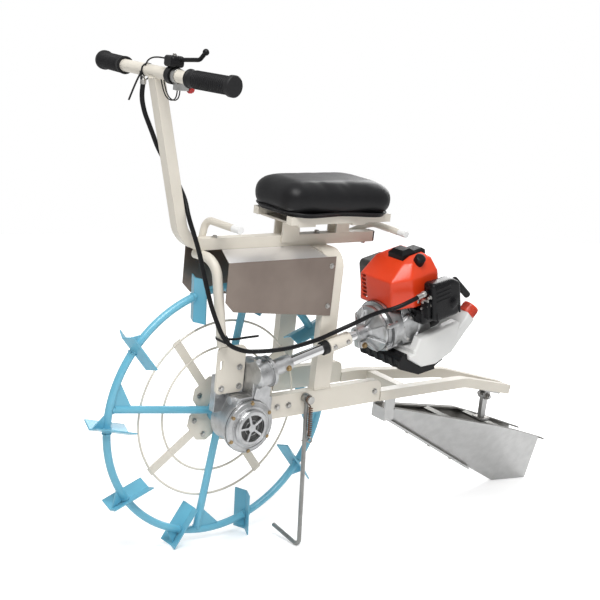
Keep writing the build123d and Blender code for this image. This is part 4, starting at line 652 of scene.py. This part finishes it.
def round_wire(tree, curve, radius, sides, caps):
    """A round wire along a curve."""
    section = add_node(tree, "GeometryNodeCurvePrimitiveCircle", {"Radius": radius, "Resolution": sides})
    along = {"Curve": curve, "Profile Curve": section.outputs["Curve"], "Fill Caps": caps}
    return add_node(tree, "GeometryNodeCurveToMesh", along).outputs["Mesh"]


def spring_tree():
    """A round wire wound into a close coil along Z."""
    sizes = {"Turns": 12.0, "Radius": 4.0, "Wire": 1.4, "Length": 60.0}
    tree, enter, leave = node_tree("coil", sizes)
    radius = enter.outputs["Radius"]
    spiral = add_node(tree, "GeometryNodeCurveSpiral", {
        "Rotations": enter.outputs["Turns"], "Start Radius": radius, "End Radius": radius,
        "Height": enter.outputs["Length"], "Resolution": 24,
    })
    end_tree(tree, enter, leave, round_wire(tree, spiral.outputs["Curve"], enter.outputs["Wire"], 10, True))
    return tree


def ring_tree():
    """Round rings set on points, each facing its own way."""
    tree, enter, leave = node_tree("rings", {"Wire": 1.0})
    circle = add_node(tree, "GeometryNodeCurvePrimitiveCircle", {"Resolution": 40, "Radius": 1.0})
    wire = round_wire(tree, circle.outputs["Curve"], enter.outputs["Wire"], 8, False)
    set_on_points(tree, enter, leave, wire)
    return tree


BOLT_TREE = bolt_tree()
BEAD_TREE = bead_tree()
SPRING_TREE = spring_tree()
RING_TREE = ring_tree()

# %% [markdown]
# ## The saddle
# The real saddle is foam under a black vinyl cover, pulled down over a flat pan. Here a copy of the
# packed cushion is remeshed into even cells, shaped a little, blown up as cloth under pressure, and held
# flat where it rests on its frame. A round welt follows the cover's foot, where it meets the pan.

# %% Saddle by cloth simulation
SADDLE_UNDER = 456.2
SADDLE_CELL = 0.005
SADDLE_CAP = 6.0
SADDLE_TUCK = 12.0
SADDLE_SPREAD = 4.0
SADDLE_FOOT = 0.4
SADDLE_DROP = 1.0
SADDLE_TAUT = 10
CLOTH_PRESSURE = 4.0
CLOTH_STEPS = 20
WELT_STEPS = 72
WELT_RISE = 9.0
WELT_RADIUS = 2.2
PAN_RINGS = ((-0.4, 5.0), (2.0, 3.2), (6.0, 3.2))


def saddle_form(mesh):
    """Shape the plain cushion before it is blown up: a crowned top, tucked in at its foot."""
    points = [TO_MACHINE @ vert.co for vert in mesh.vertices]
    low = Vector([min(p[i] for p in points) for i in range(3)])
    high = Vector([max(p[i] for p in points) for i in range(3)])
    middle = (low + high) / 2
    half = (high - low) / 2
    for vert, point in zip(mesh.vertices, points):
        share = Vector([(point[i] - middle[i]) / half[i] for i in range(3)])
        rise = (point.z - low.z) / (high.z - low.z)
        foot = max(0.0, 1 - rise / SADDLE_FOOT) ** 2
        shrink = SADDLE_TUCK * foot - SADDLE_SPREAD
        x = middle.x + share.x * (half.x - shrink)
        y = middle.y + share.y * (half.y - shrink)
        crown = 0.05 * abs(share.x) ** 6 + 0.16 * abs(share.y) ** 4
        z = low.z + (point.z - low.z) * (1 - crown * rise) - SADDLE_DROP * rise
        vert.co = PLACE @ Vector((x, y, z))


def even_cells(mesh, cell, passes=0):
    """Remesh a closed form into even cells, and smooth it by a number of passes."""
    base = show("cells", mesh)
    remesh = base.modifiers.new("cells", "REMESH")
    remesh.mode = "VOXEL"
    remesh.voxel_size = cell
    if passes:
        smooth = base.modifiers.new("smooth", "SMOOTH")
        smooth.factor = 0.5
        smooth.iterations = passes
    return kept_mesh(base)


def blow_up(mesh, cap):
    """Swell a closed mesh as cloth under pressure, no point further than the cap in millimetres."""
    rest = [vert.co.copy() for vert in mesh.vertices]
    piece = show("saddle_cloth", mesh)
    cloth = piece.modifiers.new("cloth", "CLOTH")
    cloth.settings.use_pressure = True
    cloth.settings.uniform_pressure_force = CLOTH_PRESSURE
    cloth.settings.effector_weights.gravity = 0.0
    for step in range(1, CLOTH_STEPS + 1):
        bpy.context.scene.frame_set(step)
    blown = kept_mesh(piece)
    bpy.context.scene.frame_set(1)
    for vert, start in zip(blown.vertices, rest):
        move = vert.co - start
        if move.length > cap * MM:
            vert.co = start + move.normalized() * (cap * MM)
    return blown


def smooth_once(mesh, floor):
    """Pull the cover taut, then one subdivision, with the underside kept flat at the frame's top."""
    taut = bmesh.new()
    taut.from_mesh(mesh)
    every_way = {"use_axis_x": True, "use_axis_y": True, "use_axis_z": True}
    for _ in range(SADDLE_TAUT):
        bmesh.ops.smooth_vert(taut, verts=taut.verts, factor=0.5, **every_way)
    taut.to_mesh(mesh)
    taut.free()
    for vert in mesh.vertices:
        point = TO_MACHINE @ vert.co
        if point.z < floor:
            vert.co = PLACE @ Vector((point.x, point.y, floor))
    base = show("saddle_base", mesh)
    base.modifiers.new("finer", "SUBSURF").levels = 1
    return kept_mesh(base)


def foot_outline(mesh, height, count):
    """The cover's outline at a height, found as its furthest point in each direction."""
    points = [TO_MACHINE @ vert.co for vert in mesh.vertices]
    band = [p for p in points if abs(p.z - height) < 3.0]
    middle = sum(band, Vector()) / len(band)
    outline = []
    for out in around(Vector((1, 0, 0)), Vector((0, 1, 0)), count):
        near = [p for p in band if (p - middle).normalized().dot(out) > 0.985]
        reach = max((p - middle).dot(out) for p in near)
        outline.append(Vector((middle.x, middle.y, height)) + out * reach)
    return outline


def make_saddle():
    plain = nodes_by_name["seat_cushion"].data.copy()
    welded = bmesh.new()
    welded.from_mesh(plain)
    bmesh.ops.remove_doubles(welded, verts=welded.verts, dist=1e-6)
    welded.to_mesh(plain)
    welded.free()
    cells = even_cells(plain, SADDLE_CELL)
    saddle_form(cells)
    cells = blow_up(cells, SADDLE_CAP)
    cover = smooth_once(cells, SADDLE_UNDER)
    saddle = settle_piece("saddle", cover, "frame", FINISHES["saddle_black"], SOFT)
    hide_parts("seat_cushion")
    make_pan(foot_outline(cover, SADDLE_UNDER + WELT_RISE, WELT_STEPS))


def make_pan(outline):
    """The welt round the cover's foot, and the pan inside it."""
    trios = zip(outline[-1:] + outline[:-1], outline, outline[1:] + outline[:1])
    smooth = [(before + point * 2 + after) / 4 for before, point, after in trios]
    welt = bmesh.new()
    add_tube(welt, [p + Vector((0, 0, -1.0)) for p in smooth], WELT_RADIUS, closed=True)
    add_piece("saddle_welt", welt, "saddle_black")
    pan = bmesh.new()
    middle = sum(smooth, Vector()) / len(smooth)
    rings = []
    for rise, inset in PAN_RINGS:
        ring = []
        for point in smooth:
            out = Vector((point.x - middle.x, point.y - middle.y, 0))
            flat = Vector((middle.x, middle.y, SADDLE_UNDER + rise)) + out * (1 - inset / out.length)
            ring.append(pan.verts.new(flat))
        rings.append(ring)
    join_rings(pan, rings, False)
    add_piece("saddle_pan", pan, "black_plastic")


make_saddle()

# %% [markdown]
# ## Bolts and rivets
# Hexagon heads hold the gearbox cover, the hub's guard, the fork plate, the rails and the sheet guards.
# The plough's keel is riveted. Each row gives a place in the machine's frame, the way the head faces and
# its size.

# %% Bolt rows
GUARD_ANGLES = [-36.8 + 90 * i for i in range(4)]
LOBE_OUT = 64
LOBE_SIDE = 22
FORK_FACE = 69.5
RAIL_FACE = 85
SHEET_FACE = 87
BAND_FACE = 16.2
CLUTCH_FACE = 348.2
CLUTCH_REACH = 59
KEEL_OUT = Vector((0.501, 0, -0.865))
KEEL_START = Vector((-520, 0, -95))
KEEL_END = Vector((-850, 0, -286))


def polar(radius, degrees, y):
    """A point beside the wheel, by its radius and its angle from forward."""
    turn = math.radians(degrees)
    return (radius * math.cos(turn), y, radius * math.sin(turn))


def guard_rows(y, facing):
    """Two bolts on each lobe of the hub's guard plate."""
    reach = math.hypot(LOBE_OUT, LOBE_SIDE)
    swing = math.degrees(math.atan2(LOBE_SIDE, LOBE_OUT))
    angles = [angle + side * swing for angle in GUARD_ANGLES for side in (-1, 1)]
    return [(polar(reach, angle, y), facing, 4.8) for angle in angles]


cover_rows = [(polar(55, 30 + 60 * i, 113.4), LEFT, 4.4) for i in range(6)]
cover_rows.append((drive(88, 18.2, -4), LEFT, 5.2))
frame_rows = [((x, FORK_FACE, z), LEFT, 5.4) for x, z in ((11, 126), (9, 82), (55, 81))]
frame_rows += [((x, RAIL_FACE, 24), LEFT, 5.6) for x in (-92, -124, -385)]
frame_rows += [((x, -RAIL_FACE, 24), RIGHT, 5.6) for x in (-215, -385)]
for side, facing in ((1, LEFT), (-1, RIGHT)):
    frame_rows += [((-205, side * SHEET_FACE, z), facing, 4.6) for z in (345, 252)]
    frame_rows.append(((-880, side * 11.5, -80), facing, 8.0))
frame_rows += [
    ((58, 0, 402.5), UP, 5.0), ((-366, 0, 377.5), DOWN, 5.6), ((-222, 0, 402.5), UP, 6.0),
    ((232, 66, 781.5), UP, 4.2),
]
frame_rows += [(drive(d, BAND_FACE, 0), LEFT, 4.4) for d in (222, 260)]
for degrees in (18, 162, 222, 318):
    y, _, w = polar(CLUTCH_REACH, degrees, 0)
    frame_rows.append((drive(CLUTCH_FACE, y, w), DRIVE_FRONT, 3.8))
keel_places = [KEEL_START.lerp(KEEL_END, share) + KEEL_OUT * 5.2 for share in (0.25, 0.52, 0.79)]
keel_rows = [(place, KEEL_OUT, 4.0) for place in keel_places]

# %% Grow the bolts
HEXAGON = 6
DOME = 20


def grow_bolts(name, rows, sides, height, body="frame", finish=None):
    values = {"Sides": sides, "Height": height}
    grow(name, placed_points(rows), BOLT_TREE, values, "bare_steel", finish, body=body)


grow_bolts("cover_bolts", cover_rows, HEXAGON, 0.7, finish=GOLD_ZINC)
grow_bolts("frame_bolts", frame_rows, HEXAGON, 0.66)
grow_bolts("guard_bolts", guard_rows(-10, LEFT) + guard_rows(-13, RIGHT), HEXAGON, 0.6, "wheel")
grow_bolts("keel_rivets", keel_rows, DOME, 0.35)

# %% [markdown]
# ## Weld beads
# A real bead is a row of overlapping ripples, so a row of small balls follows each joint: round a tube
# that meets another, or along the foot of a plate.

# %% Weld lines
RING_RADIUS = 290.0
RIM_TUBE = 17.3
HUB_RADIUS = 32.4
LUG_COUNT = 10
LUG_PHASE = -73.2312
LUG_HALF_ANGLE = 1.15
SPOKE_COUNT = 4
SPOKE_PHASE = LUG_PHASE - 8.6
POST_REAR = -242
POST_FRONT = -194
POST_FOOT = 51.4
POST_OUTER = 85.2
POST_INNER = 65
BEAM_SIDE = 12.7
BEAM_UNDER = 378


def ring_line(centre, axis, radius):
    """A closed ring as a line, its last point on its first."""
    _, side, other = across_axis(axis)
    ring = [Vector(centre) + out * radius for out in around(side, other, 20)]
    return ring + ring[:1]


def wheel_welds():
    """A bead round the rim's tube on each side of every lug, and one at each end of every spoke."""
    lines = []
    for i in range(LUG_COUNT):
        for side in (-1, 1):
            degrees = LUG_PHASE + 360 / LUG_COUNT * i + side * LUG_HALF_ANGLE
            along = Vector(polar(1, degrees + 90, 0))
            lines.append(ring_line(polar(RING_RADIUS, degrees, 0), along, RIM_TUBE / 2 + 0.3))
    for i in range(SPOKE_COUNT):
        degrees = SPOKE_PHASE + 360 / SPOKE_COUNT * i
        out = Vector(polar(1, degrees, 0))
        lines.append(ring_line(polar(RING_RADIUS - RIM_TUBE / 2 - 0.6, degrees, 0), out, RIM_TUBE / 2 - 0.4))
        lines.append(ring_line(polar(HUB_RADIUS, degrees, 0), out, RIM_TUBE / 2 + 0.2))
    return lines


def frame_welds():
    """Beads at the fork's foot, under the handlebar, and where the rear arch's posts meet rails and beam."""
    lines = [ring_line((59.8, 67, 176.4), UP, 11.2), ring_line((232, 0, 731.6), UP, 12.0)]
    for side in (1, -1):
        outer = side * POST_OUTER
        lines.append([(POST_REAR, outer, POST_FOOT), (POST_FRONT, outer, POST_FOOT)])
        for x in (POST_REAR, POST_FRONT):
            lines.append([(x, side * POST_INNER, POST_FOOT), (x, outer, POST_FOOT)])
        lines.append([(x, side * BEAM_SIDE, BEAM_UNDER) for x in (POST_REAR, POST_FRONT)])
    return lines


def grow_beads(name, lines, pitch, radius, slot, body):
    values = {"Pitch": pitch, "Radius": radius}
    grow(name, lines_mesh(lines), BEAD_TREE, values, slot, crease=ROUND, body=body)


grow_beads("wheel_welds", wheel_welds(), 2.6, 1.9, "wheel_blue", "wheel")
grow_beads("frame_welds", frame_welds(), 2.4, 2.0, "frame_ivory", "frame")

# %% [markdown]
# ## The stand's spring
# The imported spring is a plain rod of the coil's outer size. Here it becomes a wound wire with a hooked
# end at the pivot and a hook round the stand's rod, as a tension spring has.

# %% Coil spring
STAND_PIVOT = Vector((-168, 94, 38))
STAND_RUN = Vector((30, 66, -334)) / 334
SPRING_OFF = Vector((-5, 10.8, 0))
SPRING_TOP = 18
SPRING_FOOT = 82
SPRING_CATCH = 96
COIL_TURNS = 15.0
COIL_RADIUS = 4.1
COIL_WIRE = 1.45
HOOK_Y = 105.0
HOOK_RADIUS = 7.9


def stand_point(down):
    """A point of the stand's rod, by how far it is below the pivot."""
    return STAND_PIVOT + STAND_RUN * down


def make_spring():
    top = stand_point(SPRING_TOP) + SPRING_OFF
    foot = stand_point(SPRING_FOOT) + SPRING_OFF
    run = foot - top
    sizes = {"Turns": COIL_TURNS, "Radius": COIL_RADIUS, "Wire": COIL_WIRE, "Length": run.length}
    coil = grow("stand_coil", lines_mesh([[(0, 0, 0), UP]]), SPRING_TREE, sizes, "spring_brown", body="stand")
    turned = Vector(UP).rotation_difference(run.normalized()).to_matrix().to_4x4()
    coil.data.transform(PLACE @ Matrix.Translation(top) @ turned @ TO_MACHINE)
    hooks = bmesh.new()
    along, side, _ = across_axis(run)
    loop = []
    for degrees in range(-150, 151, 20):
        turn = math.radians(degrees)
        around_pin = Vector((math.sin(turn) * HOOK_RADIUS, 0, math.cos(turn) * HOOK_RADIUS))
        loop.append(Vector((STAND_PIVOT.x, HOOK_Y, STAND_PIVOT.z)) + around_pin)
    add_tube(hooks, loop + [top + side * COIL_RADIUS], COIL_WIRE)
    rod = stand_point(SPRING_CATCH)
    tail = [foot + side * COIL_RADIUS, foot + along * 5 + side * 2]
    tail += [rod + Vector(step) for step in ((-7.4, 3.5, 2), (-5.0, -4.6, 0), (3.5, -5.6, -1))]
    add_tube(hooks, tail, COIL_WIRE)
    add_piece("spring_hooks", hooks, "spring_brown", body="stand")
    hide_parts("stand_spring")


make_spring()

# %% [markdown]
# ## Grips, fuel cap and knob
# Moulded rubber grips carry rings that stop the hand from slipping. The fuel cap and the air cleaner's
# knob are ribbed round their sides for the fingers.

# %% Ribs on what the hand turns
BAR_X = 232.0
BAR_Z = 744.0
BAR_HALF = 246.0
BAR_BACK = 18.41
SWEEP = math.radians(8)
GRIP_RINGS = 19
GRIP_PITCH = 5.2
GRIP_RADIUS = 16.4
CAP_OUT = (drive(0.811, 0, 0.584) - drive(0, 0, 0)).normalized()
CAP_SEAT = drive(593, 58, -28.5)
KNOB_SEAT = drive(497, 117.4, 48)


def grip_rows(side):
    """Rings along one grip, from just inside its end to its flange."""
    end = Vector((BAR_X - BAR_BACK, side * BAR_HALF, BAR_Z))
    inward = Vector((math.sin(SWEEP), -side * math.cos(SWEEP), 0))
    return [(end + inward * (10 + GRIP_PITCH * i), inward, GRIP_RADIUS) for i in range(GRIP_RINGS)]


def finger_ribs(name, slot, base, axis, radius, length, count, width):
    """Small round bars along the side of a turned knob."""
    ribs = bmesh.new()
    along, side, other = across_axis(axis)
    for out in around(side, other, count):
        foot = Vector(base) + out * radius
        add_tube(ribs, [foot, foot + along * length], width, 6)
    add_piece(name, ribs, slot, crease=ROUND)


def grow_rings(name, rows, wire, slot):
    grow(name, placed_points(rows), RING_TREE, {"Wire": wire}, slot, crease=ROUND)


grow_rings("grip_rings", grip_rows(1) + grip_rows(-1), 0.085, "grip_rubber")
finger_ribs("fuel_cap_ribs", slot_of["fuel_cap"], CAP_SEAT + CAP_OUT * 3, CAP_OUT, 20.0, 17.0, 36, 0.9)
finger_ribs("cleaner_knob_ribs", "black_plastic", KNOB_SEAT, LEFT, 11.0, 4.4, 20, 0.7)

# %% [markdown]
# ## Cable ties, cable and switch
# The throttle's conduit is tied to the handlebar and to the fork with plastic ties, their tails left
# long. A thin inner cable leaves the conduit's top and goes up to the lever. The stop switch has two
# wires and a round red button.

# %% Ties, cable and switch
BAR_RADIUS = 12.7
CONDUIT_RADIUS = 5.0
CONDUIT_TOP = (240, -32, 727)
CONDUIT_AT_FORK = (70.3, 96.1, 197)
CONDUIT_END = Vector((-403.5, 198, 298.6))
CONDUIT_BEFORE_END = Vector((-362, 197, 283))
FORK_AT_TIE = Vector((63.7, 65.7, 197))
FORK_LEAN = Vector((60, 67, 176)) - Vector((88, 57, 366.5))
FORK_RADIUS = 11.0
TAIL_WIDTH = 5.0
TAIL_THICK = 1.8
CABLE_RADIUS = 1.6
WIRE_RADIUS = 1.3


def make_ties():
    ties = bmesh.new()
    bar = Vector((BAR_X, -32, BAR_Z))
    tie_band(ties, LEFT, [(bar, BAR_RADIUS), (CONDUIT_TOP, CONDUIT_RADIUS)], 4.6, 1.5)
    add_block(ties, bar + Vector((13.8, 0, -6)), (5.5, 6.4, 7.5), UPRIGHT, 0.8)
    tail = [bar + Vector(step) for step in ((15, 0, -6), (20, -2, -18), (26, -6, -38), (32, -11, -62))]
    add_strip(ties, smooth_line(tail), (0, 1, 0.1), TAIL_WIDTH, TAIL_THICK)
    fork_tubes = [(FORK_AT_TIE, FORK_RADIUS), (CONDUIT_AT_FORK, CONDUIT_RADIUS)]
    tie_band(ties, FORK_LEAN.normalized(), fork_tubes, 5.0, 1.9)
    head = FORK_AT_TIE + Vector((-4.5, 13.5, 0))
    add_block(ties, head, (7.5, 5.5, 6.4), UPRIGHT, 0.8)
    tail = [head + Vector(step) for step in ((0, 0, 0), (-12, 14, 2), (-34, 24, 8), (-62, 30, 10))]
    add_strip(ties, smooth_line(tail), UP, TAIL_WIDTH, TAIL_THICK)
    add_piece("cable_ties", ties, "black_plastic")


def make_ferrules():
    ferrules = bmesh.new()
    run = (CONDUIT_END - CONDUIT_BEFORE_END).normalized()
    nut = [(0, 5.3), (0, 6.6), (13, 6.6), (14, 5.6), (16, 5.6), (17, 7.4), (23, 7.4), (24, 5.4)]
    add_turned(ferrules, CONDUIT_END - run * 30, run, nut)
    cap = [(0, 5.2), (0, 6.4), (9, 6.4), (12, 3.4), (16, 3.0), (16, 0)]
    add_turned(ferrules, (240, -32.5, 716), (0, 0.03, 1), cap)
    add_piece("cable_ferrules", ferrules, "bare_steel")


def add_cable(name, lines, radius):
    """Thin cables along smooth lines, as one piece."""
    cable = bmesh.new()
    for line in lines:
        add_tube(cable, smooth_line(line), radius)
    add_piece(name, cable, "black_plastic", crease=ROUND)


def make_lever_cable():
    line = [(240, -32, 728), (241, -30, 748), (241, -16, 768), (238, 18, 775), (234, 50.5, 773)]
    add_cable("lever_cable", [line], CABLE_RADIUS)
    barrel = [(0, 4.4), (3, 4.4), (3, 3.2), (11, 3.0), (12, 2.0), (12, 0)]
    turned_piece("cable_barrel", (233.8, 51.2, 773), (0.1, -1, 0.06), barrel, TURNED_SIDES, "bare_steel")


def make_switch():
    line = ((226, 80, 717), (225, 79, 702), (224, 56, 693), (228, 34, 704), (231, 26, 732))
    add_cable("switch_wires", [[(x + shift, y, z) for x, y, z in line] for shift in (-3, 3)], WIRE_RADIUS)
    button = [(0, 7.5), (2, 9.0), (7, 9.0), (10, 7.6), (11.6, 4.0), (12, 0)]
    turned_piece("switch_button", (206, 83, 721), (-1, 0, 0), button, 24, "cover_orange", BUTTON_RED)


make_ties()
make_ferrules()
make_lever_cable()
make_switch()

# %% [markdown]
# ## Small parts of the engine
# The engine's cover and the air cleaner are moulded, so both are remeshed into small cells and smoothed
# until their edges are round. The cleaner's lid has shallow ribs, the tank shows the seam where its two
# halves are welded, and the castings have ribs, ridges, dark joint lines and screws.

# %% Moulded edges
MOULDED = {"engine_cover": (0.0018, 14), "air_cleaner": (0.0028, 14)}


def round_edges(node, cell, passes):
    mesh = even_cells(nodes_by_name[node].data.copy(), cell, passes)
    piece = settle_piece(node + "_moulded", mesh, "frame", finish_of[node], SOFT)
    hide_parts(node)


for node, grid in MOULDED.items():
    round_edges(node, *grid)

# %% Engine trim
LID_FACE = 117.3
CLIP_FACE = 117.2
SEAM_LINE = ((524, -99.4), (545, -83), (566, -66.4), (584, -53.6), (601, -41.6))
SIDE_COVER = (424, -10)
SCREW_CIRCLE = 28
PINCH_AT = 309
CARBURETTOR_FACE = 437
COVER_RIDGES = ((113.6, 58.0), (117.3, 48.5), (125.0, 38.5), (121.0, 17.0))
DRIVE_JOINTS = ((39, 35.0), (348.4, 55.1), (361.0, 62.0))


def make_engine_trim():
    """Ribs and two clips on the air cleaner's lid, and the tank's seam."""
    lid = bmesh.new()
    for w in (66, 76, 86, 96):
        add_block(lid, drive(468, LID_FACE, w), (44, 2.2, 3.6), DRIVE_AXES, 0.7)
    for d in (446, 516):
        add_block(lid, drive(d, CLIP_FACE, 28), (5, 2.0, 18), DRIVE_AXES, 0.7)
    add_piece("cleaner_ribs", lid, "black_plastic")
    seam = bmesh.new()
    add_tube(seam, [drive(d, 5, w) for d, w in SEAM_LINE], 1.3)
    add_piece("tank_seam", seam, "tank_white")


def make_clutch_trim():
    """Cast ribs on the clutch housing's cone, the pinch lug under its neck and the crankcase's side cover."""
    ribs = bmesh.new()
    for i in range(8):
        turn = math.radians(22.5 + 45 * i)
        out = Vector((0, math.cos(turn), 0)) + DRIVE_ABOVE * math.sin(turn)
        line = [drive(d, 0, 0) + out * reach for d, reach in ((318, 19.5), (330, 38), (341.6, 54))]
        add_strip(ribs, line, out.cross(DRIVE_BACK), 3.4, 7.0)
    add_block(ribs, drive(PINCH_AT, 0, -25), (18, 26, 17), DRIVE_AXES, 2.5)
    add_piece("clutch_ribs", ribs, "cast_alloy")
    grow_bolts("clutch_pinch_bolt", [(drive(PINCH_AT, 13, -27), LEFT, 5.4)], HEXAGON, 0.8, finish=GOLD_ZINC)
    d, w = SIDE_COVER
    lid = [(0, 37), (4, 37), (6, 34), (9, 32), (9.6, 24), (7, 22), (7, 0)]
    turned_piece("crankcase_side", drive(d, 43.5, w), LEFT, lid, 40, "cast_alloy")
    screws = []
    for i in range(5):
        turn = math.radians(20 + 72 * i)
        place = drive(d + SCREW_CIRCLE * math.cos(turn), 52.8, w + SCREW_CIRCLE * math.sin(turn))
        screws.append((place, LEFT, 3.2))
    grow_bolts("crankcase_screws", screws, HEXAGON, 0.6)
    earth = ((402, 66, 49), (407, 70, 36), (418, 72, 14), (434, 75, 8), (440, 70, 24))
    add_cable("earth_wire", [[drive(*step) for step in earth]], WIRE_RADIUS)


def make_gearbox_trim():
    """Turned ridges on the cover, dark joint lines round the castings and a dark disc behind the ribs as painted
    shade in the cover's recess.
    """
    ridges = [((0, y, 0), LEFT, radius) for y, radius in COVER_RIDGES]
    grow_rings("cover_ridges", ridges, 0.026, "cast_alloy")
    joints = [((0, 106.1, 0), LEFT, 60.1)]
    joints += [(drive(d, 0, 0), DRIVE_BACK, radius) for d, radius in DRIVE_JOINTS]
    grow_rings("casting_joints", joints, 0.012, "dark_steel")
    # a dark disc in the cover's recess behind the ribs: painted shade
    turned_piece("cover_recess_shade", (0, 117.05, 0), LEFT, [(0, 30.4), (0.5, 30.4), (0.5, 0)], 40, "dark_steel")


def make_carburettor():
    """The small fittings in front of the air cleaner: idle screws, a linkage and the fuel hose's stub."""
    steel = bmesh.new()
    for y, w, reach, radius in ((90, 66, 12, 4.2), (103, 58, 10, 3.4), (88, 50, 15, 3.0), (106, 78, 8, 3.6)):
        flange = radius + 1.4
        tip = reach + 1
        profile = [(0, flange), (2, flange), (2.4, radius), (reach, radius), (tip, radius - 0.8), (tip, 0)]
        add_turned(steel, drive(CARBURETTOR_FACE, y, w), DRIVE_FRONT, profile, 18)
    add_block(steel, drive(427, 96, 72), (3, 26, 6), DRIVE_AXES, 0.8)
    add_piece("carburettor_fittings", steel, "bare_steel")
    body = bmesh.new()
    add_block(body, drive(431.5, 95, 52), (11, 24, 38), DRIVE_AXES, 2.0)
    add_block(body, drive(432, 96, 30), (10, 18, 12), DRIVE_AXES, 2.0)
    add_piece("carburettor_body", body, "black_plastic")


make_engine_trim()
make_clutch_trim()
make_gearbox_trim()
make_carburettor()
grow_bolts("cover_screws", [(drive(d, 72.0, 60), LEFT, 3.2) for d in (430, 486)], DOME, 0.5)
